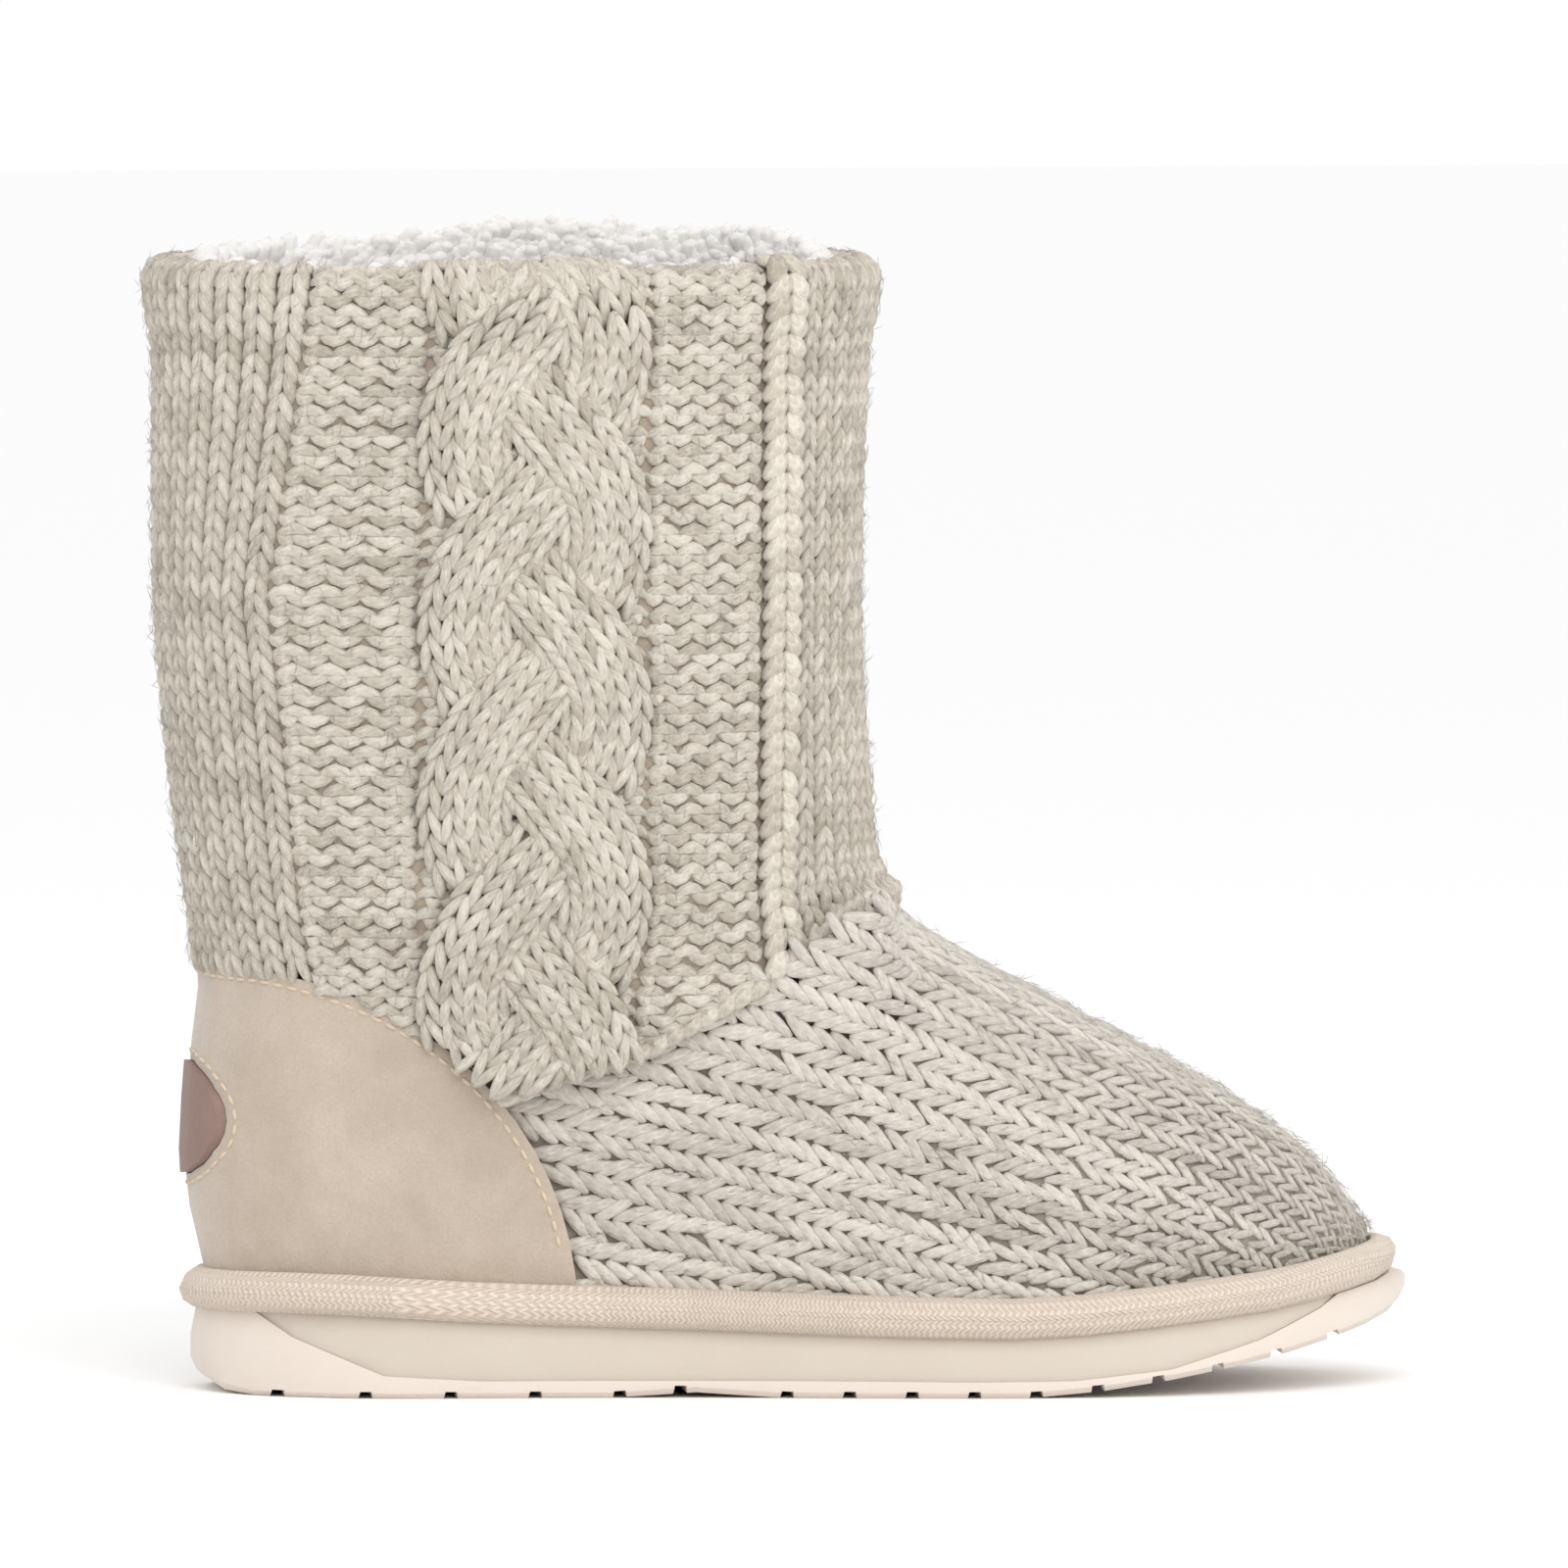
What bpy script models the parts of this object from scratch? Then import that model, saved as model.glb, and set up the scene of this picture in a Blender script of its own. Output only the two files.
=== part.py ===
# A right knit boot: a hollow lined bootie on a moulded sole, with a cable-knit sleeve round its shaft, a suede
# heel counter with a small oval patch, and a woven tape round the sole's edge.
# The toe points to +X, the outer side of the foot faces -Y and +Z is up. Lengths are in metres.

import functools
import math
from collections import namedtuple

import bmesh
import bpy
import numpy as np

# Sole sizes
SOLE_LENGTH = 0.265
BALL_WIDTH = 0.100
HEEL_STACK = 0.0184  # height of the sole under the heel
SLAB_HEIGHT = 0.0037  # tread slab of the outsole
TOE_SPRING = 0.0213  # height of the sole's tip
HEEL_RISE = 0.0057  # lift of the rear edge of the tread
ARCH_RISE = 0.0012  # lift of the tread under the arch
SOLE_EDGE = 0.0012  # rounding of the lower edge
TOP_SLOPE = 0.0012  # how far the sole's side leans in at its top
TIP_LEAN = 0.0023  # how much further it leans in at the tip
MIDSOLE_RECESS = 0.0009  # step between outsole and midsole
HEEL_WEDGE = 0.0386  # reach of the outsole's wedge from the back of the heel
TOE_WEDGE = 0.026  # reach of the outsole's wedge from the tip
TOE_BLEND = 0.0572  # where the slab starts to rise towards that wedge, from the tip
SLAB_TAPER = 0.38  # share of its height that the slab loses from the ball to there
SLAB_TAPER_START = 0.6  # where that starts, as a share of the sole's length

# Tread
GROOVE_WIDTH = 0.0030
GROOVE_DEPTH = 0.0015
HEEL_LUG_START = 0.0165
HEEL_LUG_PITCH = 0.01825
HEEL_GROOVES = 5
ARCH_GROOVE = 0.1024
TOE_LUG_START = 0.1252
TOE_LUG_PITCH = 0.01333
TOE_GROOVES = 10

# Upper sizes
FEATHER_BACK = 0.0057  # where the upper meets the sole, from the back of the sole
FEATHER_TIP = 0.0075  # the same at the toe
FEATHER_SIDE = 0.0060  # the same along the sides
HEEL_HEIGHT = 0.087  # height of the top of the heel counter on the upper
INSTEP_HEIGHT = 0.1085  # where the vamp's ridge turns up into the shaft
COLLAR_HEIGHT = 0.2415  # top edge of the lined wall
SHAFT_WIDTH = 0.098  # across the sleeve
SHAFT_FRONT = 0.1455  # front of the lined shaft above the instep, from the back of the sole
UPPER_WALL = 0.0040

# Overlays
CLEARANCE = 0.0003
LOOSE = 0.0006  # gap under the curved overlays, whose facets split differently from the upper's
TAPE_HEIGHT = 0.0077
TAPE_BULGE = 0.0020
SLEEVE_WALL = 0.0030
ROLL_RISE = 0.0035  # the rolled rim stands this far above the lined wall
ROLL_BULGE = 0.0014
ROLL_DROP = 0.0075  # how far the rolled rim reaches down inside
LIP_WALL = 0.0022
COUNTER_WALL = 0.0022
COUNTER_REACH = 0.0806  # front end of the counter's quarter ellipse
COUNTER_TOP = 0.0930
PATCH_WIDTH = 0.034
PATCH_HEIGHT = 0.0244
PATCH_CENTRE = 0.0590
PATCH_PROUD = 0.0013
INSOLE_WALL = 0.0050
INSOLE_GAP = 0.0014  # loose fit of the footbed in the upper

# Plait on the sleeve
PLAIT_CENTRE = 0.0700  # from the back of the sole
PLAIT_SWING = 0.0150  # sideways reach of a strand's middle line
PLAIT_PERIOD = 0.119  # height of a strand's full swing
PLAIT_START = 0.2165  # height of the crossing that the pattern is set by
STRAND_WIDTH = 0.0185
STRAND_RISE = 0.0030
PLAIT_MARGIN = 0.003  # the plait ends this far above the counter
STRAND_SINK = -0.6  # underside of a strand, as a share of its rise
STRANDS = 3

# Facets
AROUND = 24  # points from heel to toe on each side of a ring
UPPER_LEVELS = [0, 1, 1.5, 2, 2.5, 3, 4, 5, 6, 7, 8, 9, 10, 11, 12, 13, 14]  # slices in the upper's mesh
STRAND_STEPS = 24
STRAND_SIDES = 6
CUTTER_REACH = 0.2  # how far a cutter runs past the boot to each side

Plan = namedtuple("Plan", "station outer inner")
Ground = namedtuple("Ground", "station heel arch toe")
Stack = namedtuple("Stack", "station height")
Step = namedtuple("Step", "station slab stack")
Ring = namedtuple("Ring", "level back back_height front front_height shaft")
Seam = namedtuple("Seam", "station height")

# Half widths of the sole each side of the heel-to-toe line, as shares of the ball width.
SOLE_PLAN = (
    Plan(0.00, 0.345, 0.345),
    Plan(0.14, 0.370, 0.370),
    Plan(0.30, 0.382, 0.362),
    Plan(0.45, 0.425, 0.350),
    Plan(0.60, 0.490, 0.405),
    Plan(0.71, 0.508, 0.492),
    Plan(0.84, 0.475, 0.515),
    Plan(1.00, 0.400, 0.500),
)
HEEL_ROUND = 0.17  # share of the length over which the heel rounds off
TOE_ROUND = 0.27

# Height of the tread, as shares of the heel's rise, the arch's rise and the toe spring.
GROUND_LINE = (
    Ground(0.000, 1.00, 0.0, 0.000),
    Ground(0.008, 0.60, 0.0, 0.000),
    Ground(0.024, 0.13, 0.0, 0.000),
    Ground(0.040, 0.00, 0.0, 0.000),
    Ground(0.330, 0.00, 0.0, 0.000),
    Ground(0.375, 0.00, 1.0, 0.000),
    Ground(0.440, 0.00, 1.0, 0.000),
    Ground(0.470, 0.00, 0.0, 0.000),
    Ground(0.660, 0.00, 0.0, 0.000),
    Ground(0.717, 0.00, 0.0, 0.055),
    Ground(0.766, 0.00, 0.0, 0.135),
    Ground(0.864, 0.00, 0.0, 0.350),
    Ground(0.936, 0.00, 0.0, 0.570),
    Ground(0.985, 0.00, 0.0, 0.790),
    Ground(1.000, 0.00, 0.0, 1.000),
)
# Height of the sole above its toe spring, as shares of the heel stack.
STACK_LINE = (
    Stack(0.000, 0.975),
    Stack(0.083, 1.000),
    Stack(0.230, 0.897),
    Stack(0.400, 0.810),
    Stack(0.574, 0.728),
    Stack(0.709, 0.690),
    Stack(0.800, 0.636),
    Stack(0.875, 0.540),
    Stack(0.962, 0.430),
    Stack(1.000, 0.340),
)
# Floor of the pocket that holds the midsole, above the toe spring: shares of the slab and of the heel stack.
HEEL_STEP = (
    Step(0.23, 0.0, 1.10),
    Step(0.50, 0.0, 0.71),
    Step(1.00, 1.0, 0.065),
)
TOE_STEP = (
    Step(0.00, 0.62, 0.0),
    Step(0.35, 0.80, 0.08),
    Step(0.60, 0.80, 0.23),
    Step(0.85, 0.80, 0.48),
)
# Slices of the upper from the sole to the collar. Back and front are shares of the sole's length, heights are
# shares of the heel's height behind and of the instep's in front up to level 8, and above it both are shares of
# the rise from instep to collar. Shaft says how far the slice is the shaft's round shape.
UPPER_RINGS = (
    Ring(0, 0.0215, 0.210, 0.9717, 0.260, 0.00),
    Ring(1, 0.0215, 0.300, 0.9717, 0.332, 0.00),
    Ring(2, 0.0098, 0.460, 0.9423, 0.432, 0.02),
    Ring(3, 0.0060, 0.598, 0.8996, 0.525, 0.10),
    Ring(4, 0.0080, 0.725, 0.8320, 0.619, 0.24),
    Ring(5, 0.0115, 0.862, 0.7530, 0.713, 0.42),
    Ring(6, 0.0170, 1.000, 0.6680, 0.815, 0.62),
    Ring(7, 0.0155, 1.115, 0.5960, 0.911, 0.82),
    Ring(8, 0.0085, 1.265, 0.5490, 1.000, 1.00),
    Ring(9, -0.0020, 0.155, 0.5435, 0.160, 1.00),
    Ring(10, -0.0110, 0.325, 0.5365, 0.325, 1.00),
    Ring(11, -0.0165, 0.500, 0.5355, 0.500, 1.00),
    Ring(12, -0.0165, 0.680, 0.5370, 0.680, 1.00),
    Ring(13, -0.0165, 0.860, 0.5420, 0.860, 1.00),
    Ring(14, -0.0190, 1.000, 0.5460, 1.000, 1.00),
)
WELT_LEVEL = 1
SHAFT_LEVEL = 8
COLLAR_LEVEL = 14
SLEEVE_FOOT = 3  # lowest slice that the sleeve's form reaches
COUNTER_HEAD = 8  # highest slice of the counter's form
CROWN_POWER = 2.25  # roundness of the forefoot's section
SHAFT_POWER = 2.2
SIDE_SWELL = 0.035  # how far the foot's side swells over the welt

# Lower edge of the sleeve seen from the side, shares of the shaft's front and of the instep's height.
SLEEVE_SEAM = (
    Seam(0.300, 0.545),
    Seam(0.471, 0.600),
    Seam(0.533, 0.640),
    Seam(0.653, 0.684),
    Seam(0.740, 0.748),
    Seam(0.832, 0.812),
    Seam(0.924, 0.905),
    Seam(0.985, 0.950),
    Seam(1.022, 0.962),
    Seam(1.075, 1.030),
)

Finish = namedtuple("Finish", "colour roughness")
FINISHES = {
    "outsole": Finish((0.86, 0.79, 0.72), 0.55),
    "midsole": Finish((0.77, 0.69, 0.58), 0.60),
    "insole": Finish((0.76, 0.73, 0.70), 0.95),
    "upper": Finish((0.76, 0.73, 0.67), 0.90),
    "welt": Finish((0.65, 0.53, 0.43), 0.85),
    "knit_shaft": Finish((0.69, 0.64, 0.56), 0.90),
    "heel_counter": Finish((0.62, 0.52, 0.43), 0.95),
    "heel_patch": Finish((0.38, 0.25, 0.22), 0.70),
}


def smooth(rows, column, at):
    """Read a table's column at a station or level, along a smooth curve that never overshoots its rows."""
    place = np.array([row[0] for row in rows], float)
    value = np.array([getattr(row, column) for row in rows], float)
    at = np.clip(np.asarray(at, float), place[0], place[-1])
    width = np.diff(place)
    slope = np.diff(value) / width
    tangent = np.zeros(len(place))
    tangent[0], tangent[-1] = slope[0], slope[-1]
    for i in range(1, len(place) - 1):
        if slope[i - 1] * slope[i] > 0:
            before = 2 * width[i] + width[i - 1]
            after = width[i] + 2 * width[i - 1]
            tangent[i] = (before + after) / (before / slope[i - 1] + after / slope[i])
    span = np.clip(np.searchsorted(place, at) - 1, 0, len(place) - 2)
    t = (at - place[span]) / width[span]
    return (
        (1 + 2 * t) * (1 - t) ** 2 * value[span]
        + t * (1 - t) ** 2 * width[span] * tangent[span]
        + t * t * (3 - 2 * t) * value[span + 1]
        - t * t * (1 - t) * width[span] * tangent[span + 1]
    )


def stations():
    """Shares from heel to toe, close together at both ends so that the ends are round."""
    return (1 - np.cos(np.linspace(0, math.pi, AROUND))) / 2


def spring(x):
    return TOE_SPRING * smooth(GROUND_LINE, "toe", x / SOLE_LENGTH)


def ground(x):
    share = x / SOLE_LENGTH
    heel = HEEL_RISE * smooth(GROUND_LINE, "heel", share)
    arch = ARCH_RISE * smooth(GROUND_LINE, "arch", share)
    return heel + arch + spring(x)


def sole_top(x):
    return spring(x) + HEEL_STACK * smooth(STACK_LINE, "height", x / SOLE_LENGTH)


def end_rounding(share):
    """Factor on a half width that closes the outline round the heel and the toe."""
    heel = np.clip(1 - share / HEEL_ROUND, 0, 1)
    toe = np.clip((share - 1 + TOE_ROUND) / TOE_ROUND, 0, 1)
    return np.sqrt(1 - heel**2) * (1 - toe**2.3) ** (1 / 2.1)


def sole_half(share, inset):
    """Middle line and half width of the sole's outline at a share of its length, drawn in by an inset."""
    outer = BALL_WIDTH * smooth(SOLE_PLAN, "outer", share) - inset
    inner = BALL_WIDTH * smooth(SOLE_PLAN, "inner", share) - inset
    return (inner - outer) / 2, (inner + outer) / 2


def ring_loop(x, middle, half, z):
    """Close a ring from its stations: heel, outer side, toe, then the inner side back to the heel."""
    outer = np.stack([x, middle - half, z], axis=1)
    inner = np.stack([x, middle + half, z], axis=1)
    return np.concatenate([outer, inner[-2:0:-1]])


def sole_loop(inset, height, lean=0.0):
    """Ring of the sole's outline, drawn in by an inset, with its height a function of x and its tip set back."""
    share = stations()
    x = inset + share * (SOLE_LENGTH - lean - 2 * inset)
    middle, half = sole_half(share, inset)
    return ring_loop(x, middle, half * end_rounding(share), height(x))


def footbed_loop(inset, height):
    """Ring of the upper's outline where it meets the sole, drawn in by an inset."""
    share = stations()
    back = FEATHER_BACK + inset
    x = back + share * (SOLE_LENGTH - FEATHER_TIP - inset - back)
    middle, half = sole_half(share, FEATHER_SIDE + inset)
    return ring_loop(x, middle, half * end_rounding(share), height(x))


def ring_path(level):
    """Back and front points of the upper's slice at a level, as x and height."""
    back = SOLE_LENGTH * smooth(UPPER_RINGS, "back", level)
    front = SOLE_LENGTH * smooth(UPPER_RINGS, "front", level)
    shaft_share = front / (SOLE_LENGTH * UPPER_RINGS[SHAFT_LEVEL].front)
    if level <= SHAFT_LEVEL:
        back_height = HEEL_HEIGHT * smooth(UPPER_RINGS[: SHAFT_LEVEL + 1], "back_height", level)
        front_height = INSTEP_HEIGHT * smooth(UPPER_RINGS[: SHAFT_LEVEL + 1], "front_height", level)
        reach = smooth(UPPER_RINGS, "shaft", level) ** 2
        return back, back_height, front + reach * (SHAFT_FRONT * shaft_share - front), front_height
    rise = COLLAR_HEIGHT - INSTEP_HEIGHT
    start = UPPER_RINGS[SHAFT_LEVEL]
    behind = HEEL_HEIGHT * start.back_height - INSTEP_HEIGHT
    base = Ring(SHAFT_LEVEL, start.back, behind / rise, start.front, 0.0, 1.0)
    upper_rows = (base,) + UPPER_RINGS[SHAFT_LEVEL + 1 :]
    back_height = INSTEP_HEIGHT + rise * smooth(upper_rows, "back_height", level)
    front_height = INSTEP_HEIGHT + rise * smooth(upper_rows, "front_height", level)
    return back, back_height, SHAFT_FRONT * shaft_share, front_height


@functools.lru_cache(maxsize=1)
def ridge_path():
    """Ridge of the vamp from the instep down to the toe, as x and height."""
    levels = np.linspace(SHAFT_LEVEL, WELT_LEVEL, 120)
    return np.array([ring_path(level)[2:] for level in levels])


def ridge_height(x):
    """Height of the vamp's ridge above a station; behind the instep it climbs on inside the shaft."""
    path = ridge_path()
    behind = np.clip(path[0, 0] - x, 0, None)
    return np.interp(x, path[:, 0], path[:, 1]) + 1.2 * behind + 22 * behind**2


def upper_ring(level):
    """Ring of the upper's outer surface at a level."""
    back, back_height, front, front_height = ring_path(level)
    share = stations()
    x = back + share * (front - back)
    chord = back_height + share * (front_height - back_height)
    top = sole_top(x)
    if level <= WELT_LEVEL:
        z = top + CLEARANCE + level * TAPE_HEIGHT
    else:
        back_1, back_height_1, front_1, front_height_1 = ring_path(WELT_LEVEL)
        along = (x - back_1) / (front_1 - back_1)
        straight = back_height_1 + along * (front_height_1 - back_height_1)
        fade = np.clip(1 - (level - WELT_LEVEL) / 5, 0, 1) ** 2
        z = chord + fade * (top + CLEARANCE + TAPE_HEIGHT - straight)
    along = (x - FEATHER_BACK) / (SOLE_LENGTH - FEATHER_TIP - FEATHER_BACK)
    middle, half = sole_half(np.clip(along, 0, 1), FEATHER_SIDE)
    toe = end_rounding(np.clip(along, 0.5, 1))
    heel = end_rounding(np.clip((x - back) / (SOLE_LENGTH - FEATHER_TIP - back), 0, 0.5))
    welt_line = top + TAPE_HEIGHT
    climb = np.clip((z - welt_line) / np.maximum(ridge_height(x) - welt_line, 1e-6), 0, 1)
    swell = 1 + SIDE_SWELL * np.sin(math.pi * np.clip(2.2 * climb, 0, 1))
    crown = (1 - climb**CROWN_POWER) ** (1 / CROWN_POWER)
    foot = half * toe * heel * swell * crown
    if level > WELT_LEVEL:
        foot[-1] = 0
    shaft_half = SHAFT_WIDTH / 2 - SLEEVE_WALL - CLEARANCE
    shaft = shaft_half * (1 - np.abs(2 * share - 1) ** SHAFT_POWER) ** (1 / SHAFT_POWER)
    blend = smooth(UPPER_RINGS, "shaft", level)
    middle = middle * (1 - blend)
    return ring_loop(x, middle, foot + blend * (shaft - foot), z)


def upper_form(level, offset, lift=0.0):
    """Ring of the upper's form moved outwards along its surface, then up."""
    near = 0.04
    low, high = max(level - near, 0), min(level + near, COLLAR_LEVEL)
    ring = upper_ring(level)
    up = upper_ring(high) - upper_ring(low)
    if level <= WELT_LEVEL:
        up = np.tile([0.0, 0.0, 1.0], (len(ring), 1))
    along = np.roll(ring, -1, axis=0) - np.roll(ring, 1, axis=0)
    normal = np.cross(along, up)
    normal /= np.linalg.norm(normal, axis=1)[:, None]
    return ring + normal * offset + np.array([0.0, 0.0, lift])


def levels_between(low, high):
    """The two ends and every slice between them that the upper's mesh has."""
    inside = [level for level in UPPER_LEVELS if low < level < high]
    return [low] + inside + [high]


def empty_scene():
    for obj in list(bpy.data.objects):
        bpy.data.objects.remove(obj, do_unlink=True)


def material_for(name):
    finish = FINISHES[name]
    material = bpy.data.materials.new(name)
    material.use_nodes = True
    shader = material.node_tree.nodes["Principled BSDF"]
    shader.inputs["Base Color"].default_value = (*finish.colour, 1.0)
    shader.inputs["Roughness"].default_value = finish.roughness
    shader.inputs["Metallic"].default_value = 0.0
    return material


def add_object(name, bm, collection, parent):
    mesh = bpy.data.meshes.new(name)
    bm.to_mesh(mesh)
    bm.free()
    obj = bpy.data.objects.new(name, mesh)
    collection.objects.link(obj)
    obj.parent = parent
    return obj


def finish_piece(obj):
    obj.data.materials.append(material_for(obj.name))
    obj.data.shade_smooth()
    obj.data.set_sharp_from_angle(angle=math.radians(40))


def bridge(bm, lower, upper):
    count = len(lower)
    for i in range(count):
        j = (i + 1) % count
        bm.faces.new((lower[i], lower[j], upper[j], upper[i]))


def ring_verts(bm, ring):
    return [bm.verts.new(point) for point in ring]


def cap(bm, verts, facing_up):
    """Close a ring with strips that run from its outer side to its inner side."""
    half = len(verts) // 2
    outer = verts[: half + 1]
    inner = [verts[0]] + verts[:half - 1:-1]
    for i in range(half):
        corners = [outer[i], outer[i + 1], inner[i + 1], inner[i]]
        corners = list(dict.fromkeys(corners))
        if not facing_up:
            corners.reverse()
        bm.faces.new(corners)


def stacked(rings):
    """Closed body from rings stacked from bottom to top, with both ends capped."""
    bm = bmesh.new()
    loops = [ring_verts(bm, ring) for ring in rings]
    for lower, upper in zip(loops, loops[1:]):
        bridge(bm, lower, upper)
    cap(bm, loops[0], facing_up=False)
    cap(bm, loops[-1], facing_up=True)
    bmesh.ops.recalc_face_normals(bm, faces=bm.faces)
    return bm


def banded(rings):
    """Closed band from rings that go up its outer face and come down its inner face."""
    bm = bmesh.new()
    loops = [ring_verts(bm, ring) for ring in rings]
    for lower, upper in zip(loops, loops[1:] + loops[:1]):
        bridge(bm, lower, upper)
    bmesh.ops.recalc_face_normals(bm, faces=bm.faces)
    return bm


def prism(outline, depth_axis, low, high):
    """Straight body from an outline, run along Y from an outline in x and z, or along X from one in y and z."""
    bm = bmesh.new()
    if depth_axis == "Y":
        verts = [bm.verts.new((a, low, b)) for a, b in outline]
        run = (0, high - low, 0)
    else:
        verts = [bm.verts.new((low, a, b)) for a, b in outline]
        run = (high - low, 0, 0)
    face = bm.faces.new(verts)
    grown = bmesh.ops.extrude_face_region(bm, geom=[face])
    moved = [item for item in grown["geom"] if isinstance(item, bmesh.types.BMVert)]
    bmesh.ops.translate(bm, verts=moved, vec=run)
    bmesh.ops.recalc_face_normals(bm, faces=bm.faces)
    return bm


def add_cutter(name, bm, cutters, parent):
    obj = add_object(name, bm, cutters, parent)
    obj.hide_render = True
    obj.display_type = "WIRE"
    return obj


def cut(obj, cutter, operation, crossing=False):
    boolean = obj.modifiers.new(cutter.name, "BOOLEAN")
    boolean.operation = operation
    boolean.solver = "EXACT"
    boolean.use_self = crossing
    boolean.object = cutter


def sole_block(inset):
    """Rings of the whole sole, drawn in by an inset."""
    side = sole_loop(inset, lambda x: ground(x) + SOLE_EDGE)
    return [
        sole_loop(inset + SOLE_EDGE, ground),
        side,
        sole_loop(inset, lambda x: 0.5 * (ground(x) + sole_top(x)), 0.4 * TIP_LEAN),
        sole_loop(inset + TOP_SLOPE, sole_top, TIP_LEAN),
    ]


def pocket_outline(gap):
    """Outline in x and z of the midsole's pocket in the outsole, drawn in by a gap."""
    points = []
    for row in HEEL_STEP:
        x = HEEL_WEDGE * row.station
        points.append((x + gap, row.slab * SLAB_HEIGHT + row.stack * HEEL_STACK + gap))
    toe_start = SOLE_LENGTH - TOE_BLEND
    thick = SLAB_TAPER_START * SOLE_LENGTH
    for x in np.linspace(HEEL_WEDGE, toe_start, 9)[1:-1]:
        share = 1 - SLAB_TAPER * np.clip((x - thick) / (toe_start - thick), 0, 1)
        points.append((x, spring(x) + share * SLAB_HEIGHT + gap))
    for row in TOE_STEP:
        x = toe_start + row.station * (SOLE_LENGTH - toe_start)
        points.append((x - gap, spring(x) + row.slab * SLAB_HEIGHT + row.stack * HEEL_STACK + gap))
    above = HEEL_STACK + TOE_SPRING
    points.append((points[-1][0] + 0.1 * TOE_WEDGE, above))
    points.append((points[0][0] - 0.2 * HEEL_WEDGE, above))
    return points


def groove_places():
    heel = [HEEL_LUG_START + i * HEEL_LUG_PITCH for i in range(HEEL_GROOVES)]
    toe = [TOE_LUG_START + i * TOE_LUG_PITCH for i in range(TOE_GROOVES)]
    return heel + [ARCH_GROOVE] + toe


def groove_outline(x):
    """Tapered notch across the tread, square to the tread's slope."""
    slope = math.atan2(float(ground(x + GROOVE_WIDTH) - ground(x - GROOVE_WIDTH)), 2 * GROOVE_WIDTH)
    wide, narrow = 0.58 * GROOVE_WIDTH, 0.42 * GROOVE_WIDTH
    corners = ((-wide, -GROOVE_DEPTH), (wide, -GROOVE_DEPTH), (narrow, GROOVE_DEPTH), (-narrow, GROOVE_DEPTH))
    level = float(ground(x))
    turn = math.cos(slope), math.sin(slope)
    return [(x + a * turn[0] - b * turn[1], level + a * turn[1] + b * turn[0]) for a, b in corners]


def build_outsole(parts, cutters, parent):
    outsole = add_object("outsole", stacked(sole_block(0.0)), parts, parent)
    pocket = prism(pocket_outline(0.0), "Y", -CUTTER_REACH, CUTTER_REACH)
    cut(outsole, add_cutter("midsole_pocket", pocket, cutters, parent), "DIFFERENCE")
    for i, x in enumerate(groove_places()):
        groove = prism(groove_outline(x), "Y", -CUTTER_REACH, CUTTER_REACH)
        cut(outsole, add_cutter(f"tread_groove_{i + 1:02d}", groove, cutters, parent), "DIFFERENCE")
    finish_piece(outsole)


def build_midsole(parts, cutters, parent):
    midsole = add_object("midsole", stacked(sole_block(MIDSOLE_RECESS)), parts, parent)
    space = prism(pocket_outline(CLEARANCE), "Y", -CUTTER_REACH, CUTTER_REACH)
    cut(midsole, add_cutter("midsole_space", space, cutters, parent), "INTERSECT")
    finish_piece(midsole)


def build_insole(parts, parent):
    inset = UPPER_WALL + INSOLE_GAP
    lower = footbed_loop(inset, lambda x: sole_top(x) + CLEARANCE)
    middle = footbed_loop(inset, lambda x: sole_top(x) + CLEARANCE + 0.7 * INSOLE_WALL)
    crown = footbed_loop(inset + 0.3 * INSOLE_WALL, lambda x: sole_top(x) + CLEARANCE + INSOLE_WALL)
    finish_piece(add_object("insole", stacked([lower, middle, crown]), parts, parent))


def build_upper(parts, parent):
    bm = bmesh.new()
    loops = [ring_verts(bm, upper_ring(level)) for level in UPPER_LEVELS]
    for lower, upper in zip(loops, loops[1:]):
        bridge(bm, lower, upper)
    obj = add_object("upper", bm, parts, parent)
    wall = obj.modifiers.new("lined wall", "SOLIDIFY")
    wall.thickness = UPPER_WALL
    wall.offset = -1
    wall.use_even_offset = False
    finish_piece(obj)


def build_welt(parts, parent):
    def outside(inset, rise):
        return sole_loop(inset, lambda x: sole_top(x) + CLEARANCE + rise, 2 * TIP_LEAN)

    rings = [
        outside(TAPE_BULGE * 0.3, 0.0),
        outside(-TAPE_BULGE * 0.6, 0.16 * TAPE_HEIGHT),
        outside(-TAPE_BULGE, 0.45 * TAPE_HEIGHT),
        outside(-TAPE_BULGE * 0.4, 0.78 * TAPE_HEIGHT),
        outside(TAPE_BULGE * 0.8, 0.98 * TAPE_HEIGHT),
        upper_form(WELT_LEVEL, CLEARANCE),
        upper_form(0, CLEARANCE),
    ]
    finish_piece(add_object("welt", banded(rings), parts, parent))


def counter_edge(grow):
    """Quarter ellipse of the counter's edge in x and z, from the top of the heel forwards and down."""
    base = HEEL_STACK
    points = []
    for turn in np.linspace(math.pi / 2, 0, 17):
        x = (COUNTER_REACH + grow) * math.cos(turn)
        points.append((x, base + (COUNTER_TOP - base + grow) * math.sin(turn)))
    return points


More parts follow.
